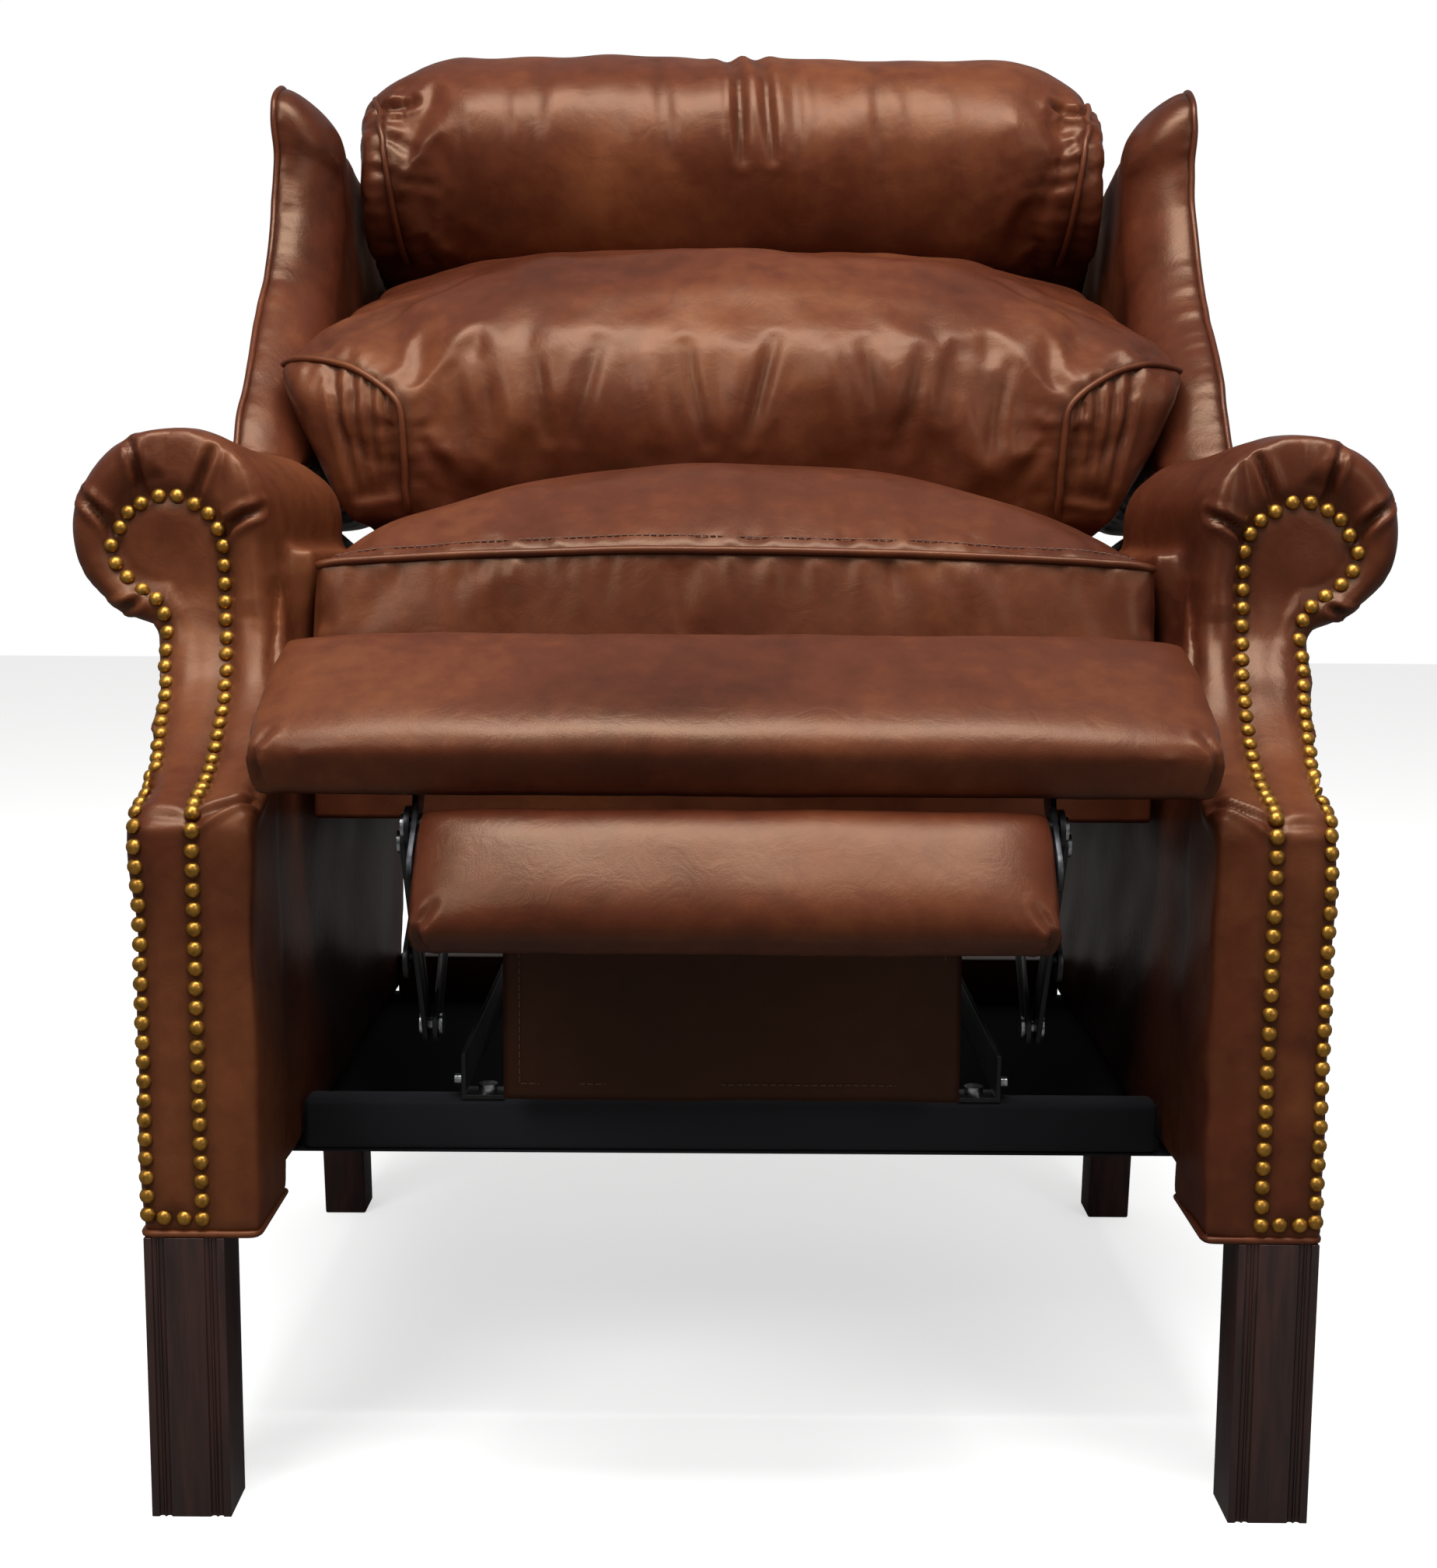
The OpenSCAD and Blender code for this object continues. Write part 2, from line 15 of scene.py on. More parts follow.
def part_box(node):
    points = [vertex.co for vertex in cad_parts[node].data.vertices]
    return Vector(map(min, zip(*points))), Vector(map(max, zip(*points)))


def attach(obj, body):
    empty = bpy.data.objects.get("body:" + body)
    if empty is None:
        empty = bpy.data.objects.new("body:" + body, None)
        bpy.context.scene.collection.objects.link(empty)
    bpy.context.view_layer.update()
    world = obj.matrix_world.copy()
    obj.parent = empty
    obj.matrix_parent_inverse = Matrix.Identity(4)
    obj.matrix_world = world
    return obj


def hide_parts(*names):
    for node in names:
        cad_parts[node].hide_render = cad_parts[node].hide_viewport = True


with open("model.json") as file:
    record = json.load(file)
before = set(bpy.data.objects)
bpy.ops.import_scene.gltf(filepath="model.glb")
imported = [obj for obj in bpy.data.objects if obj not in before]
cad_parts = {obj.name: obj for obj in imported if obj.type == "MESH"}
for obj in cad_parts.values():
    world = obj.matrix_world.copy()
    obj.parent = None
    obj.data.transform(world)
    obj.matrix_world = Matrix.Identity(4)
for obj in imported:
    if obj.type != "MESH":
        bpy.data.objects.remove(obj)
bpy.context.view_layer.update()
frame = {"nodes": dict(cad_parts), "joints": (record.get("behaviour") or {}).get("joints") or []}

LOG = logging.getLogger("recliner")
MM = 0.001
SEAM_STEP = 3.0  # spacing of the points along a seam, in millimetres
BLOCK = 4000  # points measured at once, which bounds the memory
FLAT_DEG = 2.0  # faces that meet at less than this are one face
SHARP_DEG = 30.0  # edges sharper than this are eased
SHADE_DEG = 32.0  # edges sharper than this stay crisp in the shading
Point = tuple[float, float]


# ---- places ---------------------------------------------------------------


@dataclass(frozen=True)
class Places:
    """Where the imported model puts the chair's own frames of reference, in millimetres before scaling.

    Attributes:
        seat_pitch: backward slope of the seat's timbers, in degrees.
        back_lean: lean of the back from vertical, in degrees.
        wide_pitch: slope of the wide footrest pad, in degrees.
        narrow_pitch: slope of the narrow footrest pad, in degrees.
        deck_t: thickness of the cloth deck on the seat's timbers.
    """

    seat_pitch: float = 8.0
    back_lean: float = 18.0
    wide_pitch: float = 26.0
    narrow_pitch: float = 51.0
    deck_t: float = 6.0

    def chair(self) -> Matrix:
        """Frame with Y = 0 at the front of the arm posts and Z = 0 on the floor."""
        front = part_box("arm_front_right")[0].y / MM
        return Matrix.Scale(MM, 4) @ Matrix.Translation((0.0, front, 0.0))

    def at(self, y: float, z: float, pitch: float) -> Matrix:
        """Frame at a row point (y, z) in metres, turned about X by pitch degrees, in millimetres."""
        turn = Matrix.Rotation(math.radians(pitch), 4, "X")
        return Matrix.Translation((0.0, y, z)) @ turn @ Matrix.Scale(MM, 4)

    def seat(self) -> Matrix:
        """The seat's frame: Y back along the seat, Z up from the top of its timbers."""
        low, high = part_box("seat_deck")
        top = high.z - self.deck_t * MM * math.cos(math.radians(self.seat_pitch))
        return self.at(low.y, top, -self.seat_pitch)

    def back(self) -> Matrix:
        """The back's frame: Z up along the back, -Y towards the sitter."""
        pivot = next(j for j in frame["joints"] if j["name"] == "back_recline")["pos_m"]
        return self.at(pivot[1], pivot[2], -self.back_lean)

    def pad(self, node: str, pitch: float) -> Matrix:
        """A footrest pad's frame at its centre: -Y towards its front edge, +Z out of its face."""
        low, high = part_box(node)
        middle = (low + high) / 2
        return self.at(middle.y, middle.z, pitch)


PLACES = Places()
# Stands an outline drawn in (Y, Z) across the chair, so that it is pulled out along X.
ENDWISE = Matrix(((0, 0, 1, 0), (1, 0, 0, 0), (0, 1, 0, 0), (0, 0, 0, 1)))


# ---- finishes -------------------------------------------------------------


def linear(hex_colour: str) -> tuple[float, float, float, float]:
    """An sRGB hex colour as the linear RGBA that shaders take.

    Args:
        hex_colour: six hex digits with a leading hash.

    Returns:
        Red, green, blue and an alpha of 1.
    """
    parts = [int(hex_colour[i:i + 2], 16) / 255 for i in (1, 3, 5)]
    red, green, blue = [p / 12.92 if p <= 0.04045 else ((p + 0.055) / 1.055) ** 2.4 for p in parts]
    return red, green, blue, 1.0


def add_node(tree: bpy.types.NodeTree, kind: str, sockets: dict, **settings) -> bpy.types.Node:
    """Adds a shader node.

    Args:
        tree: the material's node tree.
        kind: the node's type name.
        sockets: input name or index to a value, or to an output socket to link.
        **settings: attributes of the node, set before its sockets.

    Returns:
        The new node.
    """
    made = tree.nodes.new(kind)
    for name, value in settings.items():
        setattr(made, name, value)
    for name, value in sockets.items():
        if isinstance(value, bpy.types.NodeSocket):
            tree.links.new(value, made.inputs[name])
        else:
            made.inputs[name].default_value = value
    return made


def ramp(tree: bpy.types.NodeTree, fac: bpy.types.NodeSocket,
         stops: Sequence[tuple[float, str]]) -> bpy.types.Node:
    """A colour ramp of sRGB hex stops driven by fac.

    Args:
        tree: the material's node tree.
        fac: the driving output.
        stops: position and hex colour, in rising order.

    Returns:
        The colour ramp node.
    """
    made = add_node(tree, "ShaderNodeValToRGB", {"Fac": fac})
    band = made.color_ramp
    while len(band.elements) < len(stops):
        band.elements.new(0.5)
    for element, (position, colour) in zip(band.elements, stops):
        element.position = position
        element.color = linear(colour)
    return made


class Finish:
    """A named material, made once and shared by every piece that wears it."""

    name: str = "finish"
    slot: str = ""

    def material(self) -> bpy.types.Material:
        """The finish's material, built on first use."""
        found = bpy.data.materials.get(self.name)
        if found:
            return found
        made = bpy.data.materials.new(self.name)
        made.use_nodes = True
        made.node_tree.nodes.clear()
        tree = made.node_tree
        shader = self.build(tree)
        add_node(tree, "ShaderNodeOutputMaterial", {"Surface": shader.outputs[0]})
        return made

    def build(self, tree: bpy.types.NodeTree) -> bpy.types.Node:
        """Makes the shader nodes and returns the last one."""
        raise NotImplementedError


@dataclass(frozen=True)
class Leather(Finish):
    """Top-grain cowhide, drum dyed, hand antiqued and sealed.

    It has a fine pebble, has shade painted into its seams, pressed folds and nail dents, and is softly
    glossy.

    Attributes:
        name: the material's name.
        slot: the record's material slot; not used.
        painted_seam_shade: colour of the shade painted into the seams, the pressed folds and the dents along
            the nails.
        shade: colour of the darker clouds of dye.
        mid: main colour.
        warm: colour of the lightest clouds of dye.
        sheen: tint of the sealed surface's gloss.
        pebble_mm: width of one grain pebble.
        crease_mm: spacing of the faint creases of worked hide.
        roughness: roughness of the sealed surface.
    """

    name: str = "antiqued_leather"
    slot: str = "leather"
    painted_seam_shade: str = "#220d08"
    shade: str = "#3a190f"
    mid: str = "#552818"
    warm: str = "#734024"
    sheen: str = "#f0bf94"
    pebble_mm: float = 1.3
    crease_mm: float = 22.0
    roughness: float = 0.37

    def build(self, tree: bpy.types.NodeTree) -> bpy.types.Node:
        """Mottled colour, shade painted in from the piece's own seam attribute, pebble and crease bumps."""
        place = add_node(tree, "ShaderNodeTexCoord", {}).outputs["Object"]
        cloud = add_node(tree, "ShaderNodeTexNoise", {"Vector": place, "Scale": 5.0, "Detail": 4.0,
                                                      "Roughness": 0.5, "Distortion": 0.3})
        blotch = add_node(tree, "ShaderNodeTexNoise", {"Vector": place, "Scale": 55.0, "Detail": 5.0,
                                                       "Roughness": 0.6})
        mixed = add_node(tree, "ShaderNodeMix", {"Factor": 0.3, 2: cloud.outputs["Fac"],
                                                 3: blotch.outputs["Fac"]})
        dye = ramp(tree, mixed.outputs[0], [(0.30, self.shade), (0.50, self.mid), (0.72, self.warm)])
        # The seam attribute is painted shade: it darkens the colour in the seams, the pressed folds and the
        # dents along the nails.
        seam = add_node(tree, "ShaderNodeAttribute", {}, attribute_name="seam", attribute_type="GEOMETRY")
        painted_shade_share = add_node(tree, "ShaderNodeMath", {0: seam.outputs["Fac"], 1: 0.72}, operation="MULTIPLY")
        colour = add_node(tree, "ShaderNodeMix", {"Factor": painted_shade_share.outputs[0], 6: dye.outputs["Color"],
                                                  7: linear(self.painted_seam_shade)}, data_type="RGBA")
        pebble = add_node(tree, "ShaderNodeTexVoronoi", {"Vector": place, "Scale": 1000 / self.pebble_mm},
                          feature="DISTANCE_TO_EDGE")
        pebble_top = add_node(tree, "ShaderNodeMath", {0: pebble.outputs["Distance"], 1: 0.35},
                              operation="MINIMUM")
        crease = add_node(tree, "ShaderNodeTexNoise", {"Vector": place, "Scale": 1000 / self.crease_mm,
                                                       "Detail": 6.0, "Roughness": 0.55, "Distortion": 1.2})
        fine = add_node(tree, "ShaderNodeBump", {"Height": pebble_top.outputs[0], "Strength": 0.25,
                                                 "Distance": 0.0003})
        coarse = add_node(tree, "ShaderNodeBump", {"Height": crease.outputs["Fac"], "Strength": 0.4,
                                                   "Distance": 0.0012, "Normal": fine.outputs["Normal"]})
        polish = add_node(tree, "ShaderNodeMapRange", {"Value": cloud.outputs["Fac"], "From Min": 0.3,
                                                       "From Max": 0.7, "To Min": self.roughness - 0.05,
                                                       "To Max": self.roughness + 0.09})
        return add_node(tree, "ShaderNodeBsdfPrincipled", {
            "Base Color": colour.outputs[2], "Roughness": polish.outputs[0], "IOR": 1.48,
            "Specular Tint": linear(self.sheen), "Coat Weight": 0.08, "Coat Roughness": 0.26,
            "Normal": coarse.outputs["Normal"]})


@dataclass(frozen=True)
class Wood(Finish):
    """Timber with its grain along Z: lacquered dark on the legs, bare inside the frame.

    Attributes:
        name: the material's name.
        slot: the record's material slot; not used.
        dark: colour of the late wood and pores.
        light: colour of the early wood.
        ring_mm: spacing of the growth rings.
        roughness: roughness of the surface.
        coat: weight of the lacquer.
    """

    name: str = "espresso_mahogany"
    slot: str = "leg_wood"
    dark: str = "#1b0d0a"
    light: str = "#3d2019"
    ring_mm: float = 7.0
    roughness: float = 0.42
    coat: float = 0.35

    def build(self, tree: bpy.types.NodeTree) -> bpy.types.Node:
        """Long stretched rings and short open pores."""
        place = add_node(tree, "ShaderNodeTexCoord", {}).outputs["Object"]
        long_way = add_node(tree, "ShaderNodeMapping", {"Vector": place, "Scale": (1.0, 1.0, 0.07)})
        rings = add_node(tree, "ShaderNodeTexNoise", {"Vector": long_way.outputs[0],
                                                      "Scale": 1000 / self.ring_mm, "Detail": 5.0,
                                                      "Roughness": 0.62, "Distortion": 0.5})
        pores = add_node(tree, "ShaderNodeTexNoise", {"Vector": long_way.outputs[0], "Scale": 1100.0,
                                                      "Detail": 2.0})
        tone = ramp(tree, rings.outputs["Fac"], [(0.32, self.dark), (0.68, self.light)])
        groove = add_node(tree, "ShaderNodeBump", {"Height": pores.outputs["Fac"], "Strength": 0.35,
                                                   "Distance": 0.0003})
        return add_node(tree, "ShaderNodeBsdfPrincipled", {
            "Base Color": tone.outputs["Color"], "Roughness": self.roughness, "Coat Weight": self.coat,
            "Coat Roughness": 0.25, "Normal": groove.outputs["Normal"]})


@dataclass(frozen=True)
class Metal(Finish):
    """Pressed or drawn metal: bare, plated or painted, with faint blotches of wear.

    Attributes:
        name: the material's name.
        slot: the record's material slot; not used.
        dark: colour in the worn or tarnished patches.
        light: main colour.
        metallic: 1 for bare metal, 0 for paint.
        roughness: roughness of the surface.
        patch_mm: size of the patches.
    """

    name: str = "black_enamelled_steel"
    slot: str = "black_steel"
    dark: str = "#060607"
    light: str = "#131315"
    metallic: float = 0.0
    roughness: float = 0.38
    patch_mm: float = 9.0

    def build(self, tree: bpy.types.NodeTree) -> bpy.types.Node:
        """Patches of tone and roughness, and a faint bump."""
        place = add_node(tree, "ShaderNodeTexCoord", {}).outputs["Object"]
        patch = add_node(tree, "ShaderNodeTexNoise", {"Vector": place, "Scale": 1000 / self.patch_mm,
                                                      "Detail": 6.0, "Roughness": 0.6})
        tone = ramp(tree, patch.outputs["Fac"], [(0.35, self.dark), (0.6, self.light)])
        rough = add_node(tree, "ShaderNodeMapRange", {"Value": patch.outputs["Fac"],
                                                      "To Min": self.roughness + 0.12,
                                                      "To Max": self.roughness - 0.1})
        bump = add_node(tree, "ShaderNodeBump", {"Height": patch.outputs["Fac"], "Strength": 0.25,
                                                 "Distance": 0.0004})
        return add_node(tree, "ShaderNodeBsdfPrincipled", {
            "Base Color": tone.outputs["Color"], "Metallic": self.metallic, "Roughness": rough.outputs[0],
            "Normal": bump.outputs["Normal"]})


@dataclass(frozen=True)
class Cloth(Finish):
    """Woven cloth: threads drawn a little coarser than life, so that they show.

    Attributes:
        name: the material's name.
        slot: the record's material slot; not used.
        dark: colour between the threads.
        light: colour of the threads.
        thread_mm: spacing of the threads.
    """

    name: str = "black_cambric"
    slot: str = "black_cambric"
    dark: str = "#020202"
    light: str = "#080808"
    thread_mm: float = 1.4

    def build(self, tree: bpy.types.NodeTree) -> bpy.types.Node:
        """Crossed threads from two sets of bands."""
        place = add_node(tree, "ShaderNodeTexCoord", {}).outputs["Object"]
        scale = 1000 / self.thread_mm / 2
        across = add_node(tree, "ShaderNodeTexWave", {"Vector": place, "Scale": scale, "Distortion": 0.6},
                          bands_direction="X")
        along = add_node(tree, "ShaderNodeTexWave", {"Vector": place, "Scale": scale, "Distortion": 0.6},
                         bands_direction="Z")
        weave = add_node(tree, "ShaderNodeMath", {0: across.outputs["Fac"], 1: along.outputs["Fac"]},
                         operation="MULTIPLY")
        tone = ramp(tree, weave.outputs[0], [(0.0, self.dark), (0.8, self.light)])
        bump = add_node(tree, "ShaderNodeBump", {"Height": weave.outputs[0], "Strength": 0.5,
                                                 "Distance": 0.0005})
        return add_node(tree, "ShaderNodeBsdfPrincipled", {
            "Base Color": tone.outputs["Color"], "Roughness": 0.85, "Sheen Weight": 0.25,
            "Normal": bump.outputs["Normal"]})


LEATHER = Leather()
# The curtain's leather: the chair's leather made darker to paint the shade under the seat, and rougher.
CURTAIN_LEATHER_PAINTED_SHADE = Leather("curtain_leather_painted_shade", "leather", "#140806", "#26120d", "#331912", "#3e2118",
                          roughness=0.55)
LEG_WOOD = Wood()
FRAME_WOOD = Wood("sawn_hardwood", "frame_wood", "#7d5c3c", "#b99670", 9.0, 0.75, 0.0)
BRASS = Metal("antique_brass", "brass_nails", "#8a6226", "#c08c3a", 0.85, 0.36, 5.0)
BLACK_STEEL = Metal()
GREY_STEEL = Metal("grey_phosphated_steel", "grey_steel", "#26272a", "#4a4c50", 0.6, 0.45, 8.0)
BRIGHT_STEEL = Metal("zinc_plated_steel", "bright_steel", "#7f8386", "#c9ccd0", 1.0, 0.25, 4.0)
SPRING_STEEL = Metal("oiled_spring_steel", "spring_wire", "#3c3a38", "#6f6e6c", 1.0, 0.4, 6.0)
CAMBRIC = Cloth()
DECK_CLOTH = Cloth("cream_deck_cloth", "deck_cloth", "#9a9078", "#d8cfb8", 1.6)
THREAD = Cloth("bonded_thread", "leather", "#4a2a1c", "#8a5c40", 0.8)


# ---- shaping --------------------------------------------------------------


class Side(Enum):
    """Which arm, wing or leg: the sign of its X."""

    RIGHT = 1
    LEFT = -1

    @property
    def word(self) -> str:
        """The side's name as the nodes spell it."""
        return self.name.lower()

    def turn(self) -> Matrix:
        """Mirrors a right-hand shape onto this side."""
        return Matrix.Diagonal((self.value, 1, 1, 1))


@dataclass(frozen=True)
class Crease:
    """A fold pressed into leather along a straight line, in the piece's own millimetres.

    Attributes:
        start: one end of the fold.
        end: the other end.
        depth: depth of the fold at its middle, negative for a raised one.
        width: half width of the fold.
        lip: height of the leather pushed up beside it, as a share of the depth.
    """

    start: tuple[float, float, float]
    end: tuple[float, float, float]
    depth: float = 2.5
    width: float = 4.0
    lip: float = 0.45

    def push(self, points: np.ndarray, surface: BVHTree, place: Matrix) -> np.ndarray:
        """How far each point moves along its normal.

        Args:
            points: an N by 3 array in the piece's millimetres.
            surface: the leather, in metres, which the fold is first laid onto.
            place: matrix from the piece's millimetres to the leather's metres.

        Returns:
            The moves, in millimetres.
        """
        line = through(place, even([self.start, self.end], self.width / 2))
        laid = np.array([surface.find_nearest(Vector(p))[0] for p in line])
        path = through(place.inverted(), laid)
        reach = self.width * 4.0
        close = np.all((points > path.min(axis=0) - reach) & (points < path.max(axis=0) + reach), axis=1)
        moved = np.zeros(len(points))
        if close.any():
            far, which = nearest(points[close], path)
            gap = far / self.width
            share = which / max(1, len(path) - 1)
            fade = np.sin(np.pi * np.clip(share * 0.86 + 0.07, 0, 1)) ** 0.6
            moved[close] = self.depth * fade * (self.lip * np.exp(-(gap - 2.0) ** 2) - np.exp(-gap ** 2))
        return moved


def arc(centre: Point, radius: float, start: float, end: float, steps: int) -> list[Point]:
    """Points along a circular arc.

    Args:
        centre: centre of the circle.
        radius: its radius.
        start: first angle in degrees.
        end: last angle in degrees.
        steps: number of chords.

    Returns:
        The steps + 1 points.
    """
    angles = [math.radians(start + (end - start) * i / steps) for i in range(steps + 1)]
    return [(centre[0] + radius * math.cos(a), centre[1] + radius * math.sin(a)) for a in angles]


def slab(outline: Sequence[Point], low: float, high: float, turn: Matrix) -> bmesh.types.BMesh:
    """A flat outline pulled out into a closed solid.

    Args:
        outline: corners of the outline.
        low: where the solid starts along the outline's normal.
        high: where it ends.
        turn: matrix from the outline's plane to the piece's own frame.

    Returns:
        The solid.
    """
    bm = bmesh.new()
    face = bm.faces.new([bm.verts.new((u, v, low)) for u, v in outline])
    grown = bmesh.ops.extrude_face_region(bm, geom=[face])["geom"]
    far_end = [g for g in grown if isinstance(g, bmesh.types.BMVert)]
    bmesh.ops.translate(bm, vec=(0, 0, high - low), verts=far_end)
    bmesh.ops.transform(bm, matrix=turn, verts=bm.verts)
    bmesh.ops.recalc_face_normals(bm, faces=bm.faces)
    return bm


def hull(points: Sequence[tuple[float, float, float]]) -> bmesh.types.BMesh:
    """The convex solid round a few points and their mirror images.

    Args:
        points: the points at X = 0 or more, in the piece's own millimetres.

    Returns:
        The solid.
    """
    bm = bmesh.new()
    for x, y, z in points:
        bm.verts.new((x, y, z))
        if x > 0:
            bm.verts.new((-x, y, z))
    made = bmesh.ops.convex_hull(bm, input=bm.verts)
    spare = {v for v in made["geom_interior"] + made["geom_unused"] if isinstance(v, bmesh.types.BMVert)}
    bmesh.ops.delete(bm, geom=list(spare), context="VERTS")
    bmesh.ops.recalc_face_normals(bm, faces=bm.faces)
    return bm


def from_node(*nodes: str) -> bmesh.types.BMesh:
    """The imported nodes' own shapes as one merged copy, in metres.

    Args:
        *nodes: names of CAD nodes.

    Returns:
        The copy, with its loose triangles joined.
    """
    bm = bmesh.new()
    for node in nodes:
        bm.from_mesh(frame["nodes"][node].data)
    bmesh.ops.remove_doubles(bm, verts=bm.verts, dist=1e-5)
    return bm


def as_mesh(bm: bmesh.types.BMesh, name: str) -> bpy.types.Mesh:
    """Writes a bmesh to a new mesh and frees it."""
    mesh = bpy.data.meshes.new(name)
    bm.to_mesh(mesh)
    bm.free()
    return mesh


def applied(mesh: bpy.types.Mesh, kind: str, **settings) -> bpy.types.Mesh:
    """Runs one modifier over a mesh.

    Args:
        mesh: the mesh, which is used up.
        kind: the modifier's type.
        **settings: its attributes.

    Returns:
        The modified mesh.
    """
    holder = bpy.data.objects.new("holder", mesh)
    bpy.context.scene.collection.objects.link(holder)
    modifier = holder.modifiers.new("step", kind)
    for name, value in settings.items():
        setattr(modifier, name, value)
    seen = holder.evaluated_get(bpy.context.evaluated_depsgraph_get())
    made = bpy.data.meshes.new_from_object(seen)
    bpy.data.objects.remove(holder)
    bpy.data.meshes.remove(mesh)
    return made


def softened(mesh: bpy.types.Mesh, passes: int) -> bpy.types.Mesh:
    """Rounds a remeshed form over by averaging neighbours.

    Args:
        mesh: the mesh to change.
        passes: number of passes; the radius grows with their square root.

    Returns:
        The same mesh.
    """
    bm = bmesh.new()
    bm.from_mesh(mesh)
    for _ in range(passes):
        bmesh.ops.smooth_vert(bm, verts=bm.verts, factor=0.5,
                              use_axis_x=True, use_axis_y=True, use_axis_z=True)
    bm.to_mesh(mesh)
    bm.free()
    return mesh


def points_of(mesh: bpy.types.Mesh) -> np.ndarray:
    """The mesh's points as an N by 3 array."""
    flat = np.zeros(len(mesh.vertices) * 3)
    mesh.vertices.foreach_get("co", flat)
    return flat.reshape(-1, 3)


def normals_of(mesh: bpy.types.Mesh) -> np.ndarray:
    """The mesh's point normals as an N by 3 array."""
    flat = np.zeros(len(mesh.vertices) * 3)
    mesh.vertex_normals.foreach_get("vector", flat)
    return flat.reshape(-1, 3)


def set_points(mesh: bpy.types.Mesh, points: np.ndarray) -> None:
    """Moves the mesh's points."""
    mesh.vertices.foreach_set("co", points.ravel())
    mesh.update()


def through(matrix: Matrix, points: np.ndarray) -> np.ndarray:
    """Points carried through a matrix."""
    m = np.array(matrix)
    return points @ m[:3, :3].T + m[:3, 3]


def even(path: Sequence[Sequence[float]], step: float) -> np.ndarray:
    """A path cut into even steps.

    Args:
        path: its corners.
        step: length of a step, in the path's own unit.

    Returns:
        The points, ends included.
    """
    corners = np.array(path, float)
    lengths = np.linalg.norm(np.diff(corners, axis=0), axis=1)
    run = np.concatenate([[0], np.cumsum(lengths)])
    stops = np.linspace(0, run[-1], max(2, int(run[-1] / step)))
    return np.stack([np.interp(stops, run, corners[:, i]) for i in range(3)], axis=1)


def eased(path: np.ndarray, passes: int) -> np.ndarray:
    """A path with its corners rounded by averaging.

    Args:
        path: evenly spaced points.
        passes: number of passes.

    Returns:
        The rounded path; its ends stay.
    """
    out = path.copy()
    for _ in range(passes):
        middle = (np.roll(out, 1, axis=0) + np.roll(out, -1, axis=0)) / 2
        moved = (out + middle) / 2
        moved[0], moved[-1] = out[0], out[-1]
        out = moved
    return out


def nearest(points: np.ndarray, samples: np.ndarray) -> tuple[np.ndarray, np.ndarray]:
    """Finds the nearest sample to each point.

    Args:
        points: an N by 3 array.
        samples: an M by 3 array in the same unit.

    Returns:
        The distance from each point, and the number of its sample.
    """
    gap = np.full(len(points), 1e9)
    which = np.zeros(len(points), int)
    for start in range(0, len(points), BLOCK):
        block = points[start:start + BLOCK]
        spread = np.linalg.norm(block[:, None, :] - samples[None, :, :], axis=2)
        which[start:start + BLOCK] = spread.argmin(axis=1)
        gap[start:start + BLOCK] = spread.min(axis=1)
    return gap, which


@dataclass(frozen=True)
class Stuffing:
    """How a cover is blown up over its filling by the cloth simulation.

    Attributes:
        pressure: push of the filling.
        slack: share by which the leather is cut too large, which gathers it.
        cap_mm: the most that a point may move.
        frames: length of the simulation.
    """

    pressure: float = 4.0
    slack: float = 0.02
    cap_mm: float = 12.0
    frames: int = 20


def stuffed(mesh: bpy.types.Mesh, held: np.ndarray, stuffing: Stuffing) -> bpy.types.Mesh:
    """Swells a closed cover by cloth simulation, holding its seams.

    Args:
        mesh: the cover, in metres.
        held: indices of the points that the seams hold.
        stuffing: the filling.

    Returns:
        The same mesh, swollen.
    """
    start = points_of(mesh)
    cover = bpy.data.objects.new("cover", mesh)
    bpy.context.scene.collection.objects.link(cover)
    pins = cover.vertex_groups.new(name="seams")
    pins.add([int(i) for i in held], 1.0, "REPLACE")
    cloth = cover.modifiers.new("filling", "CLOTH")
    cloth.settings.quality = 4
    cloth.settings.use_pressure = True
    cloth.settings.uniform_pressure_force = stuffing.pressure
    cloth.settings.effector_weights.gravity = 0.0
    cloth.settings.shrink_min = -stuffing.slack
    cloth.settings.bending_stiffness = 2.5
    cloth.settings.vertex_group_mass = "seams"
    cloth.collision_settings.use_collision = False
    cloth.point_cache.frame_start = 1
    cloth.point_cache.frame_end = stuffing.frames
    for step in range(1, stuffing.frames + 1):
        bpy.context.scene.frame_set(step)
    seen = cover.evaluated_get(bpy.context.evaluated_depsgraph_get())
    move = points_of(seen.data) - start
    far = np.linalg.norm(move, axis=1, keepdims=True)
    cap = stuffing.cap_mm * MM
    gentle = cap * np.tanh(far / cap) / np.maximum(far, 1e-9)
    bpy.data.objects.remove(cover)
    bpy.context.scene.frame_set(1)
    set_points(mesh, start + move * gentle)
    return mesh


# ---- dressing -------------------------------------------------------------


def shown(mesh: bpy.types.Mesh, name: str, body: str, finish: Finish) -> bpy.types.Object:
    """Puts a finished mesh into the scene as a piece that rides on a body.

    Args:
        mesh: the mesh, in metres in the row frame.
        name: the piece's name.
        body: the body that it rides on.
        finish: what it is made of.

    Returns:
        The piece.
    """
    mesh.name = name
    mesh.materials.clear()
    mesh.materials.append(finish.material())
    mesh.polygons.foreach_set("use_smooth", [True] * len(mesh.polygons))
    piece = bpy.data.objects.new(name, mesh)
    bpy.context.scene.collection.objects.link(piece)
    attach(piece, body)
    LOG.info("%s: %d faces on %s", name, len(mesh.polygons), body)
    return piece


